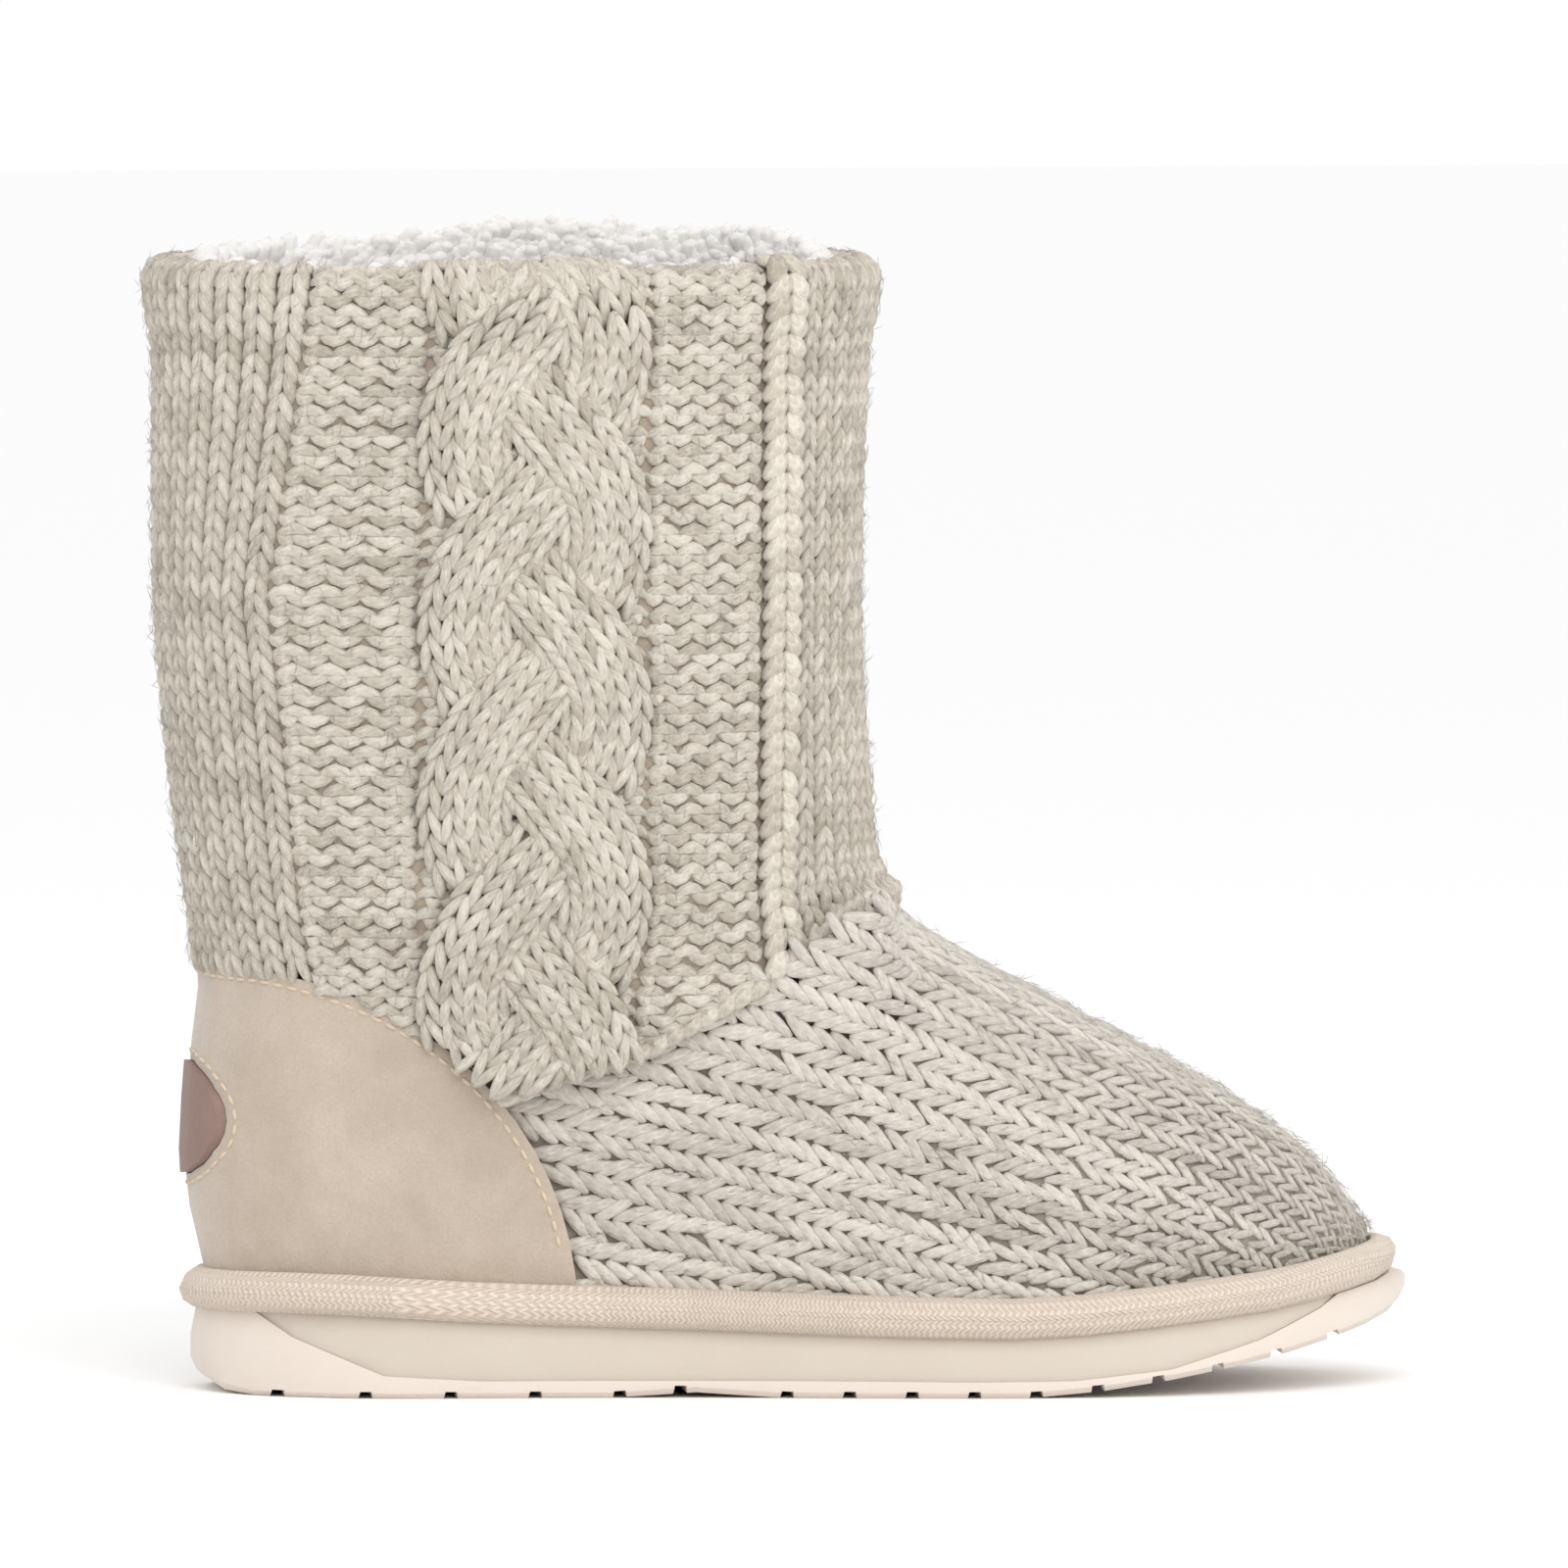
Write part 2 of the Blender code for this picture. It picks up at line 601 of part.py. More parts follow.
def sleeve_region():
    """Outline in x and z of the sleeve: above the seam and clear of the counter."""
    edge = counter_edge(CLEARANCE)
    seam = [(SHAFT_FRONT * row.station, INSTEP_HEIGHT * row.height) for row in SLEEVE_SEAM]
    outside = []
    for x, z in seam:
        across = x / COUNTER_REACH
        up = (z - HEEL_STACK) / (COUNTER_TOP - HEEL_STACK)
        if across**2 + up**2 > 1.03:
            outside.append((x, z))
    above = [(x, z) for x, z in edge if z > outside[0][1] + CLEARANCE]
    top = COLLAR_HEIGHT + CUTTER_REACH
    behind = [(-CUTTER_REACH, top), (-CUTTER_REACH, edge[0][1])]
    return above + outside + [(CUTTER_REACH, outside[-1][1]), (CUTTER_REACH, top)] + behind


def sleeve_rings():
    inner = [upper_form(level, LOOSE) for level in levels_between(SLEEVE_FOOT, COLLAR_LEVEL - 0.001)]
    skin = CLEARANCE + SLEEVE_WALL
    outer = [upper_form(level, skin) for level in levels_between(SLEEVE_FOOT, 13)]
    inside = -(UPPER_WALL + 2 * CLEARANCE)
    top = COLLAR_LEVEL
    roll = [
        upper_form(top, skin + 0.8 * ROLL_BULGE, -1.25 * ROLL_DROP),
        upper_form(top, skin + ROLL_BULGE, -0.6 * ROLL_DROP),
        upper_form(top, skin + 0.5 * ROLL_BULGE, 0.0),
        upper_form(top, 0.2 * skin, 0.8 * ROLL_RISE),
        upper_form(top, 0.5 * inside, ROLL_RISE),
        upper_form(top, inside - 0.6 * LIP_WALL, 0.5 * ROLL_RISE),
        upper_form(top, inside - LIP_WALL, -0.4 * ROLL_DROP),
        upper_form(top, inside - 0.7 * LIP_WALL, -ROLL_DROP),
        upper_form(top, inside - 0.0 * LIP_WALL, -ROLL_DROP),
        upper_form(top, inside, CLEARANCE),
        upper_form(top, CLEARANCE, CLEARANCE),
    ]
    return outer + roll + inner[-2::-1]


@functools.lru_cache(maxsize=1)
def sleeve_rows():
    """Rings of the sleeve's outer face that its strands follow."""
    return [upper_form(level, CLEARANCE + SLEEVE_WALL) for level in range(SLEEVE_FOOT, COLLAR_LEVEL + 1)]


def sleeve_point(side, x, z, raised):
    """Point on the sleeve's outer face at x and z on one side, moved out sideways."""
    hits = []
    for row in sleeve_rows():
        half = row[:AROUND] if side < 0 else np.concatenate([row[:1], row[: AROUND - 2 : -1]])
        hits.append([np.interp(x, half[:, 0], half[:, 1]), np.interp(x, half[:, 0], half[:, 2])])
    hits = np.array(hits)
    y = np.interp(z, hits[:, 1], hits[:, 0])
    return np.array([x, y + side * raised, z])


def plait_foot(x):
    """Height at which the plait ends at x, just above the counter's edge and the seam."""
    behind = (x - STRAND_WIDTH / 2) / COUNTER_REACH
    edge = HEEL_STACK + (COUNTER_TOP - HEEL_STACK) * math.sqrt(max(1 - behind**2, 0))
    seam = INSTEP_HEIGHT * float(smooth(SLEEVE_SEAM, "height", (x + STRAND_WIDTH / 2) / SHAFT_FRONT))
    return max(edge, seam) + PLAIT_MARGIN


def strand_line(number):
    """Middle line of one strand from the rim down to the counter, with its rise above the wall."""
    high = COLLAR_HEIGHT - 1.3 * ROLL_DROP
    line = []
    for z in np.linspace(high, 0.62 * INSTEP_HEIGHT, STRAND_STEPS):
        turn = 2 * math.pi * ((PLAIT_START - z) / PLAIT_PERIOD + number / STRANDS)
        x = PLAIT_CENTRE + PLAIT_SWING * math.sin(turn)
        if z > plait_foot(x):
            line.append((x, z, STRAND_RISE * (0.40 + 0.40 * math.sin(2 * turn))))
    return line


def add_strand(bm, side, number):
    """Add one strand as a flat oval rope that follows the sleeve."""
    line = [(x, z, sleeve_point(side, x, z, rise)) for x, z, rise in strand_line(number)]
    middle = np.array([point for _, _, point in line])
    along = np.gradient(middle, axis=0)
    along /= np.linalg.norm(along, axis=1)[:, None]
    loops = []
    for i, (x, z, point) in enumerate(line):
        ahead = sleeve_point(side, x + STRAND_RISE, z, 0.0) - sleeve_point(side, x - STRAND_RISE, z, 0.0)
        out = np.cross(ahead, (0.0, 0.0, -side))
        out /= np.linalg.norm(out)
        across = np.cross(along[i], out)
        across /= np.linalg.norm(across)
        ring = []
        for k in range(STRAND_SIDES):
            angle = 2 * math.pi * (k + 0.5) / STRAND_SIDES
            sideways = STRAND_WIDTH / 2 * math.cos(angle)
            raised = STRAND_RISE * max(math.sin(angle), STRAND_SINK)
            ring.append(bm.verts.new(point + across * sideways + out * raised))
        loops.append(ring)
    for lower, upper in zip(loops, loops[1:]):
        bridge(bm, lower, upper)
    bm.faces.new(loops[0])
    bm.faces.new(loops[-1])


def plaits():
    """The strands of both sides, each a closed rope that runs through its neighbours."""
    bm = bmesh.new()
    for side in (-1, 1):
        for number in range(STRANDS):
            add_strand(bm, side, number)
    bmesh.ops.recalc_face_normals(bm, faces=bm.faces)
    return bm


def build_knit_shaft(parts, cutters, parent):
    sleeve = add_object("knit_shaft", banded(sleeve_rings()), parts, parent)
    region = prism(sleeve_region(), "Y", -CUTTER_REACH, CUTTER_REACH)
    cut(sleeve, add_cutter("sleeve_region", region, cutters, parent), "INTERSECT")
    cut(sleeve, add_cutter("plaits", plaits(), cutters, parent), "UNION", crossing=True)
    finish_piece(sleeve)


def oval(width, height, centre, steps=28):
    turns = [2 * math.pi * i / steps for i in range(steps)]
    return [(width / 2 * math.cos(t), centre + height / 2 * math.sin(t)) for t in turns]


def counter_form(inner, outer):
    """Band of the upper's form between two offsets, over the height of the counter."""
    levels = levels_between(WELT_LEVEL, COUNTER_HEAD)
    above = levels[1:]
    outside = [upper_form(WELT_LEVEL, outer, CLEARANCE)] + [upper_form(level, outer) for level in above]
    inside = [upper_form(WELT_LEVEL, inner, CLEARANCE)] + [upper_form(level, inner) for level in above]
    return banded(outside + inside[::-1])


def build_heel_counter(parts, cutters, parent):
    form = counter_form(LOOSE, LOOSE + COUNTER_WALL)
    counter = add_object("heel_counter", form, parts, parent)
    outline = [(-CUTTER_REACH, 0.0), (-CUTTER_REACH, COUNTER_TOP)] + counter_edge(0.0) + [(COUNTER_REACH, 0.0)]
    region = prism(outline, "Y", -CUTTER_REACH, CUTTER_REACH)
    cut(counter, add_cutter("counter_region", region, cutters, parent), "INTERSECT")
    window = oval(PATCH_WIDTH + 2 * CLEARANCE, PATCH_HEIGHT + 2 * CLEARANCE, PATCH_CENTRE)
    opening = prism(window, "X", -CUTTER_REACH, COUNTER_REACH / 2)
    cut(counter, add_cutter("patch_window", opening, cutters, parent), "DIFFERENCE")
    finish_piece(counter)


def build_heel_patch(parts, cutters, parent):
    form = counter_form(LOOSE, LOOSE + COUNTER_WALL + PATCH_PROUD)
    patch = add_object("heel_patch", form, parts, parent)
    outline = prism(oval(PATCH_WIDTH, PATCH_HEIGHT, PATCH_CENTRE), "X", -CUTTER_REACH, COUNTER_REACH / 2)
    cut(patch, add_cutter("patch_outline", outline, cutters, parent), "INTERSECT")
    finish_piece(patch)


def stand_on_origin(parts, parent):
    """Put the origin at the middle of the underside of the whole boot's box."""
    bpy.context.view_layer.update()
    graph = bpy.context.evaluated_depsgraph_get()
    corners = []
    for obj in parts.objects:
        mesh = obj.evaluated_get(graph).to_mesh()
        corners += [obj.matrix_world @ vert.co for vert in mesh.vertices]
    corners = np.array(corners)
    low, high = corners.min(axis=0), corners.max(axis=0)
    parent.location = (-(low[0] + high[0]) / 2, -(low[1] + high[1]) / 2, -low[2])


def main():
    empty_scene()
    scene = bpy.context.scene
    parts = bpy.data.collections.new("knit boot")
    cutters = bpy.data.collections.new("cutters")
    scene.collection.children.link(parts)
    scene.collection.children.link(cutters)
    frame = bpy.data.objects.new("boot_frame", None)
    scene.collection.objects.link(frame)
    build_outsole(parts, cutters, frame)
    build_midsole(parts, cutters, frame)
    build_insole(parts, frame)
    build_upper(parts, frame)
    build_welt(parts, frame)
    build_knit_shaft(parts, cutters, frame)
    build_heel_counter(parts, cutters, frame)
    build_heel_patch(parts, cutters, frame)
    stand_on_origin(parts, frame)


main()
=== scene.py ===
import math

import bmesh
import bpy
import numpy as np
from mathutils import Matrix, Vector
from mathutils.bvhtree import BVHTree
from mathutils.geometry import convex_hull_2d


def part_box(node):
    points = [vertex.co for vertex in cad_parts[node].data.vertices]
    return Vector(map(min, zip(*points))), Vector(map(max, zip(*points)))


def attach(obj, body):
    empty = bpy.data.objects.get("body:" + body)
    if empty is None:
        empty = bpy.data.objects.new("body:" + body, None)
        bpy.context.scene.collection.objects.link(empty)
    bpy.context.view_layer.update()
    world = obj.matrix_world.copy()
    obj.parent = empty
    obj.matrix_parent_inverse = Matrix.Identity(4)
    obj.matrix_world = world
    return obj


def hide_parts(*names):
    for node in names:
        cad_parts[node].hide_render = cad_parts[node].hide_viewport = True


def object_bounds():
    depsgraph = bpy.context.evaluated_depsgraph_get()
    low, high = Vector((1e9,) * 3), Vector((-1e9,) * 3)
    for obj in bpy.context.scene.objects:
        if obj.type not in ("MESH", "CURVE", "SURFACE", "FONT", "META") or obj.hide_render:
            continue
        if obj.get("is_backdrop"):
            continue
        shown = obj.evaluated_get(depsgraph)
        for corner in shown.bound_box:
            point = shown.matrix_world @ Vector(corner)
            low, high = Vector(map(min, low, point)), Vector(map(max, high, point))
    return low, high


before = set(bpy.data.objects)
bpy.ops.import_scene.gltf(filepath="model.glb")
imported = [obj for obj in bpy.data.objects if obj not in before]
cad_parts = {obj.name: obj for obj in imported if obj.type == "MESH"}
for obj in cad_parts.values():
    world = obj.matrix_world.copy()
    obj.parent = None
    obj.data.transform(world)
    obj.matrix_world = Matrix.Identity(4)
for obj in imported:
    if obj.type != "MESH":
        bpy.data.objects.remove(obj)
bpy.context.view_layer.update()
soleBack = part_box("outsole")[0][0]
rng = np.random.default_rng(7)
scene = bpy.context.scene
print("frame loaded")

# What the camera sees: its turn and height in degrees, and the picture's width and middle on the boot
view = {
    "azimuth": -6.0, "elevation": 3.4, "lens": 900.0, "sensor": 36.0,
    "width": 0.3392, "aimX": 0.1290, "aimZ": 0.1300,
}

# Seen from the side, from the back of the sole: the sleeve's lower edge over the vamp, and the counter's edge
seamLine = np.array([
    (0.0300, 0.0560), (0.0437, 0.0591), (0.0685, 0.0651), (0.0776, 0.0694), (0.0950, 0.0742),
    (0.1077, 0.0812), (0.1211, 0.0881), (0.1344, 0.0982), (0.1433, 0.1036), (0.1600, 0.1052),
])
counterEdge = {"baseZ": 0.0184, "reach": 0.0806, "rise": 0.0746}


def seamHeight(x):
    return np.interp(x, seamLine[:, 0], seamLine[:, 1])


# Below 1 inside the counter's quarter ellipse
def counterShare(x, z):
    return np.hypot(np.maximum(x, 0) / counterEdge["reach"], (z - counterEdge["baseZ"]) / counterEdge["rise"])


# Colours and shader nodes
def colour(text):
    parts = [int(text[i : i + 2], 16) / 255 for i in (0, 2, 4)]
    return tuple(p / 12.92 if p <= 0.04045 else ((p + 0.055) / 1.055) ** 2.4 for p in parts) + (1.0,)


def addNode(tree, kind, sockets=None, **settings):
    node = tree.nodes.new(kind)
    for key, value in settings.items():
        setattr(node, key, value)
    for key, value in (sockets or {}).items():
        if isinstance(value, bpy.types.NodeSocket):
            tree.links.new(value, node.inputs[key])
        else:
            node.inputs[key].default_value = value
    return node


def newMaterial(name, roughness, **values):
    material = bpy.data.materials.new(name)
    material.use_nodes = True
    shader = material.node_tree.nodes["Principled BSDF"]
    shader.inputs["Roughness"].default_value = roughness
    for key, value in values.items():
        shader.inputs[key.replace("_", " ")].default_value = value
    return material, material.node_tree, shader


def objectPlace(tree):
    return addNode(tree, "ShaderNodeTexCoord").outputs["Object"]


def scaled(tree, place, factors):
    return addNode(tree, "ShaderNodeVectorMath", {0: place, 1: factors}, operation="MULTIPLY").outputs[0]


def noise(tree, place, scale, detail=3.0, roughness=0.55):
    sockets = {"Vector": place, "Scale": scale, "Detail": detail, "Roughness": roughness}
    return addNode(tree, "ShaderNodeTexNoise", sockets).outputs["Fac"]


def wave(tree, place, distortion=0.0, direction="X"):
    sockets = {"Vector": place, "Scale": 1.0, "Distortion": distortion, "Detail": 1.0}
    return addNode(tree, "ShaderNodeTexWave", sockets, bands_direction=direction).outputs["Fac"]


def maths(tree, operation, first, second):
    return addNode(tree, "ShaderNodeMath", {0: first, 1: second}, operation=operation).outputs[0]


def ranged(tree, value, low, high, toLow=0.0, toHigh=1.0):
    sockets = {"Value": value, "From Min": low, "From Max": high, "To Min": toLow, "To Max": toHigh}
    return addNode(tree, "ShaderNodeMapRange", sockets).outputs["Result"]


def mixed(tree, factor, first, second):
    return addNode(tree, "ShaderNodeMix", {0: factor, 6: first, 7: second}, data_type="RGBA").outputs[2]


def bumped(tree, height, distance, under=None):
    sockets = {"Height": height, "Distance": distance, "Strength": 1.0}
    if under is not None:
        sockets["Normal"] = under
    return addNode(tree, "ShaderNodeBump", sockets).outputs["Normal"]


def finishShader(tree, shader, base, normal):
    tree.links.new(base, shader.inputs["Base Color"])
    tree.links.new(normal, shader.inputs["Normal"])


# Spun yarn: two plies twisted together, with fibre streaks along them and a heathered tone
def yarnMaterial(name, dark, light, fleck):
    material, tree, shader = newMaterial(name, 0.95, Sheen_Weight=0.2, Sheen_Roughness=0.6)
    tone = addNode(tree, "ShaderNodeAttribute", attribute_name="tone").outputs["Fac"]
    along = addNode(tree, "ShaderNodeUVMap", uv_map="yarn").outputs["UV"]
    streak = noise(tree, scaled(tree, along, (4.0, 32.0, 1.0)), 1.0, 5.0, 0.65)
    heather = noise(tree, objectPlace(tree), 330.0)
    amount = maths(tree, "ADD", tone, ranged(tree, streak, 0.3, 0.7, -0.5, 0.5))
    base = mixed(tree, amount, colour(dark), colour(light))
    base = mixed(tree, ranged(tree, heather, 0.56, 0.72, 0.0, 0.55), base, colour(fleck))
    plies = wave(tree, scaled(tree, along, (1.7, 1.257, 0.0)), 0.4, "DIAGONAL")
    normal = bumped(tree, plies, 0.00022)
    normal = bumped(tree, streak, 0.00055, normal)
    finishShader(tree, shader, base, normal)
    return material


# The knit's shadowed depth behind the stitches
def backingMaterial(name, dark, light):
    material, tree, shader = newMaterial(name, 1.0)
    place = objectPlace(tree)
    base = mixed(tree, noise(tree, place, 500.0), colour(dark), colour(light))
    finishShader(tree, shader, base, bumped(tree, noise(tree, place, 900.0), 0.0004))
    return material


# Clipped wool pile: curls a few millimetres wide with fine fibres on them
def pileMaterial():
    material, tree, shader = newMaterial("wool pile", 1.0, Sheen_Weight=0.4)
    place = objectPlace(tree)
    curls = noise(tree, place, 260.0, 4.0, 0.6)
    base = mixed(tree, ranged(tree, curls, 0.35, 0.65), colour("D6D2CD"), colour("F2F0ED"))
    finishShader(tree, shader, base, bumped(tree, curls, 0.004))
    return material


# Wool curls that stand out of the pile
def curlMaterial():
    material, tree, shader = newMaterial("loose wool curls", 1.0, Sheen_Weight=0.3)
    fibres = noise(tree, objectPlace(tree), 700.0)
    base = mixed(tree, fibres, colour("D2CFCC"), colour("E8E6E3"))
    finishShader(tree, shader, base, bumped(tree, fibres, 0.0002))
    return material


# Brushed suede: a soft nap with patches stroked lighter and darker, over a fine grain
def suedeMaterial():
    material, tree, shader = newMaterial("brushed suede", 0.95, Sheen_Weight=0.5, Sheen_Roughness=0.45)
    place = objectPlace(tree)
    strokes = noise(tree, place, 45.0, 5.0, 0.65)
    nap = noise(tree, place, 1500.0, 3.0, 0.7)
    base = mixed(tree, ranged(tree, strokes, 0.35, 0.65), colour("B3A495"), colour("C2B4A6"))
    base = mixed(tree, ranged(tree, nap, 0.35, 0.65, 0.0, 0.35), base, colour("A49584"))
    normal = bumped(tree, nap, 0.00025)
    finishShader(tree, shader, base, bumped(tree, strokes, 0.0005, normal))
    return material


# Smooth drum-dyed leather with a fine pebble grain
def patchMaterial():
    material, tree, shader = newMaterial("matt rose leather", 0.55, Coat_Weight=0.06, Coat_Roughness=0.5)
    place = objectPlace(tree)
    cells = addNode(tree, "ShaderNodeTexVoronoi", {"Vector": place, "Scale": 1100.0}).outputs["Distance"]
    base = mixed(tree, noise(tree, place, 160.0), colour("7C645B"), colour("8C7268"))
    finishShader(tree, shader, base, bumped(tree, cells, 0.00012))
    return material


# Woven binding tape: its UV runs in metres along the edge and round the fold, two twills in a herringbone
def tapeMaterial():
    material, tree, shader = newMaterial("twill woven tape", 0.9, Sheen_Weight=0.2)
    along = addNode(tree, "ShaderNodeUVMap", uv_map="tape").outputs["UV"]
    twill = wave(tree, scaled(tree, along, (420.0, 420.0, 0.0)), 0.3, "DIAGONAL")
    counterTwill = wave(tree, scaled(tree, along, (420.0, -420.0, 0.0)), 0.3, "DIAGONAL")
    rows = wave(tree, scaled(tree, along, (0.0, 170.0, 0.0)), 0.0, "Y")
    side = ranged(tree, rows, 0.45, 0.55)
    weave = addNode(tree, "ShaderNodeMix", {0: side, 2: twill, 3: counterTwill}, data_type="FLOAT").outputs[0]
    fibres = noise(tree, objectPlace(tree), 1400.0)
    base = mixed(tree, weave, colour("C5B4A3"), colour("DFD0C1"))
    base = mixed(tree, ranged(tree, fibres, 0.35, 0.65, 0.0, 0.3), base, colour("DBCEC1"))
    normal = bumped(tree, weave, 0.00030)
    finishShader(tree, shader, base, bumped(tree, fibres, 0.00015, normal))
    return material


# Injection-moulded outsole rubber and the slightly darker foam block: a fine mould texture and faint dust
def mouldedMaterial(name, dark, light, roughness, grain):
    material, tree, shader = newMaterial(name, roughness, Specular_IOR_Level=0.35)
    place = objectPlace(tree)
    base = mixed(tree, noise(tree, place, 35.0, 5.0), colour(dark), colour(light))
    finishShader(tree, shader, base, bumped(tree, noise(tree, place, grain), 0.00008))
    return material


shaftYarn = yarnMaterial("heathered wool yarn", "AAA08F", "E3DBCD", "C6B9A6")
vampYarn = yarnMaterial("fine heathered yarn", "B5ACA0", "E8E1D6", "D0C8BC")
shaftBacking = backingMaterial("shadowed wool knit", "8F8272", "B5A797")
vampBacking = backingMaterial("shadowed fine knit", "7C7468", "A59D90")
woolPile = pileMaterial()
looseWool = curlMaterial()
suede = suedeMaterial()
patchLeather = patchMaterial()
wovenTape = tapeMaterial()
outsoleRubber = mouldedMaterial("moulded light rubber", "D4C8BD", "DDD2C7", 0.5, 900.0)
midsoleFoam = mouldedMaterial("moulded foam", "C3B8AB", "CDC3B7", 0.65, 1400.0)
sewingThread = newMaterial("waxed sewing thread", 0.7)[0]
sewingThread.node_tree.nodes["Principled BSDF"].inputs["Base Color"].default_value = colour("CDBCA6")
print("materials made")


# Pieces
def finishPiece(obj, slotName, *replaced):
    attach(obj, "root")
    if replaced:
        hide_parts(*replaced)
    return obj


def addObject(name, mesh, materials):
    for material in materials:
        mesh.materials.append(material)
    mesh.shade_smooth()
    obj = bpy.data.objects.new(name, mesh)
    scene.collection.objects.link(obj)
    return obj


def solidCopy(node):
    bm = bmesh.new()
    bm.from_mesh(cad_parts[node].data)
    bmesh.ops.remove_doubles(bm, verts=bm.verts, dist=0.00001)
    bmesh.ops.recalc_face_normals(bm, faces=bm.faces)
    return bm


def treeOf(bm):
    return BVHTree.FromBMesh(bm)


def shrink(bm, depth):
    bm.normal_update()
    moves = [(vert, vert.normal * depth) for vert in bm.verts]
    for vert, move in moves:
        vert.co -= move


# A copy of a rigid solid with its sharp edges rounded, grown outwards where a gap has to close
def dressCopy(name, node, materials, slotName, rounding=0.0004, angle=35.0, grow=0.0):
    bm = solidCopy(node)
    shrink(bm, -grow)
    sharp = [e for e in bm.edges if len(e.link_faces) == 2 and e.calc_face_angle(0) > math.radians(angle)]
    options = {"affect": "EDGES", "segments": 2, "profile": 0.5, "material": -1}
    bmesh.ops.bevel(bm, geom=sharp, offset=rounding, clamp_overlap=True, **options)
    bmesh.ops.recalc_face_normals(bm, faces=bm.faces)
    mesh = bpy.data.meshes.new(name)
    bm.to_mesh(mesh)
    bm.free()
    obj = addObject(name, mesh, materials)
    mesh.set_sharp_from_angle(angle=math.radians(50))
    return finishPiece(obj, slotName, node)


upperForm = solidCopy("upper")
upperTree = treeOf(upperForm)


# Small shapes that are repeated: the template's axes are along, across and out
def templateOf(bm):
    bmesh.ops.triangulate(bm, faces=bm.faces)
    bmesh.ops.recalc_face_normals(bm, faces=bm.faces)
    shape = np.array([(v.co.z, v.co.x, v.co.y) for v in bm.verts])
    faces = np.array([[v.index for v in face.verts] for face in bm.faces])
    bm.free()
    turn = np.arctan2(shape[:, 1], shape[:, 2]) / (2 * math.pi) + 0.5
    return shape, faces, np.stack([shape[:, 0] + 0.5, turn], axis=1)


# One leg of a stitch: a ball drawn out, fuller along its length, its ends dipped and curved sideways
def legTemplate(around, rings, fullness, dip, curve):
    bm = bmesh.new()
    bmesh.ops.create_uvsphere(bm, u_segments=around, v_segments=rings, radius=0.5)
    shape, faces, uv = templateOf(bm)
    radius = np.maximum(np.hypot(shape[:, 1], shape[:, 2]), 1e-6)
    fuller = 0.5 * (2 * radius) ** fullness / radius
    shape[:, 1] *= fuller
    shape[:, 2] *= fuller
    ends = (2 * shape[:, 0]) ** 2
    shape[:, 2] -= dip * ends
    shape[:, 1] += curve * ends
    return shape, faces, uv


# One joined mesh of the template at every place, with its yarn coordinates and tones
def stamp(name, template, places, tones, material, slotName):
    shape, faces, uv = template
    origin, along, across, out = (np.concatenate(part) for part in zip(*places))
    tones = np.concatenate(tones)
    points = origin[:, None] + shape[:, 0:1] * along[:, None]
    points = points + shape[:, 1:2] * across[:, None] + shape[:, 2:3] * out[:, None]
    corners = faces[None] + (np.arange(len(origin)) * len(shape))[:, None, None]
    mesh = bpy.data.meshes.new(name)
    mesh.from_pydata(points.reshape(-1, 3).tolist(), [], corners.reshape(-1, 3).tolist())
    layer = mesh.uv_layers.new(name="yarn")
    layer.data.foreach_set("uv", np.tile(uv[faces.ravel()], (len(origin), 1)).ravel())
    tone = mesh.attributes.new("tone", "FLOAT", "POINT")
    tone.data.foreach_set("value", np.repeat(tones, len(shape)))
    finishPiece(addObject(name, mesh, [material]), slotName)
    print(name, len(origin), "shapes", len(mesh.polygons), "faces")


def unit(vectors):
    return vectors / np.maximum(np.linalg.norm(vectors, axis=-1, keepdims=True), 1e-9)


# Gaussian smoothing along one axis, the ends carried on in line where oddEnds is set
def blur(values, reach, axis, oddEnds=False):
    span = 3 * reach
    weights = np.exp(-0.5 * (np.arange(-span, span + 1) / reach) ** 2)
    weights /= weights.sum()
    padding = [(0, 0)] * values.ndim
    padding[axis] = (span, span)
    extended = np.pad(values, padding, mode="reflect", reflect_type="odd" if oddEnds else "even")
    return np.apply_along_axis(lambda line: np.convolve(line, weights, "valid"), axis, extended)


def hitDistance(tree, centre, out, far=0.3):
    hit = tree.ray_cast(centre + out * far, -out, far)[0]
    return np.nan if hit is None else (hit - centre).length


# The sleeve's outer face as a grid for each side: rows go up the shaft and over the roll, and columns run
# from the back through six panels to the front, w from 0 to 6
sleeve = {
    "axisX": 0.069, "low": 0.050, "instep": 0.108, "high": 0.2405, "rowStep": 0.002, "wall": 0.0036,
    "swellFrom": 0.224, "swellSpan": 0.012, "rollRadius": 0.0046, "rollBulge": 0.0014, "rollTurn": 2.9,
    "rollStep": 0.3, "panels": 6, "columnsPerPanel": 12,
}
panelHeights = np.array([0.097, 0.173, 0.240])
panelEdges = np.array([
    (0.0227, 0.0150, 0.0240), (0.0456, 0.0456, 0.0480), (0.0943, 0.0943, 0.0950),
    (0.1180, 0.1190, 0.1190), (0.1255, 0.1268, 0.1275),
])


def wallDistances(side, heights, angles):
    rows = []
    for height in heights:
        centre = Vector((soleBack + sleeve["axisX"], 0.0, height))
        outs = [Vector((-math.cos(a), side * math.sin(a), 0.0)) for a in angles]
        rows.append([hitDistance(upperTree, centre, out) for out in outs])
    distances = np.array(rows)
    return blur(blur(distances, 3, 1), 3, 0, True)


sleeveHeights = np.arange(sleeve["low"], sleeve["high"], sleeve["rowStep"])
sleeveAngles = np.linspace(0, math.pi, 181)


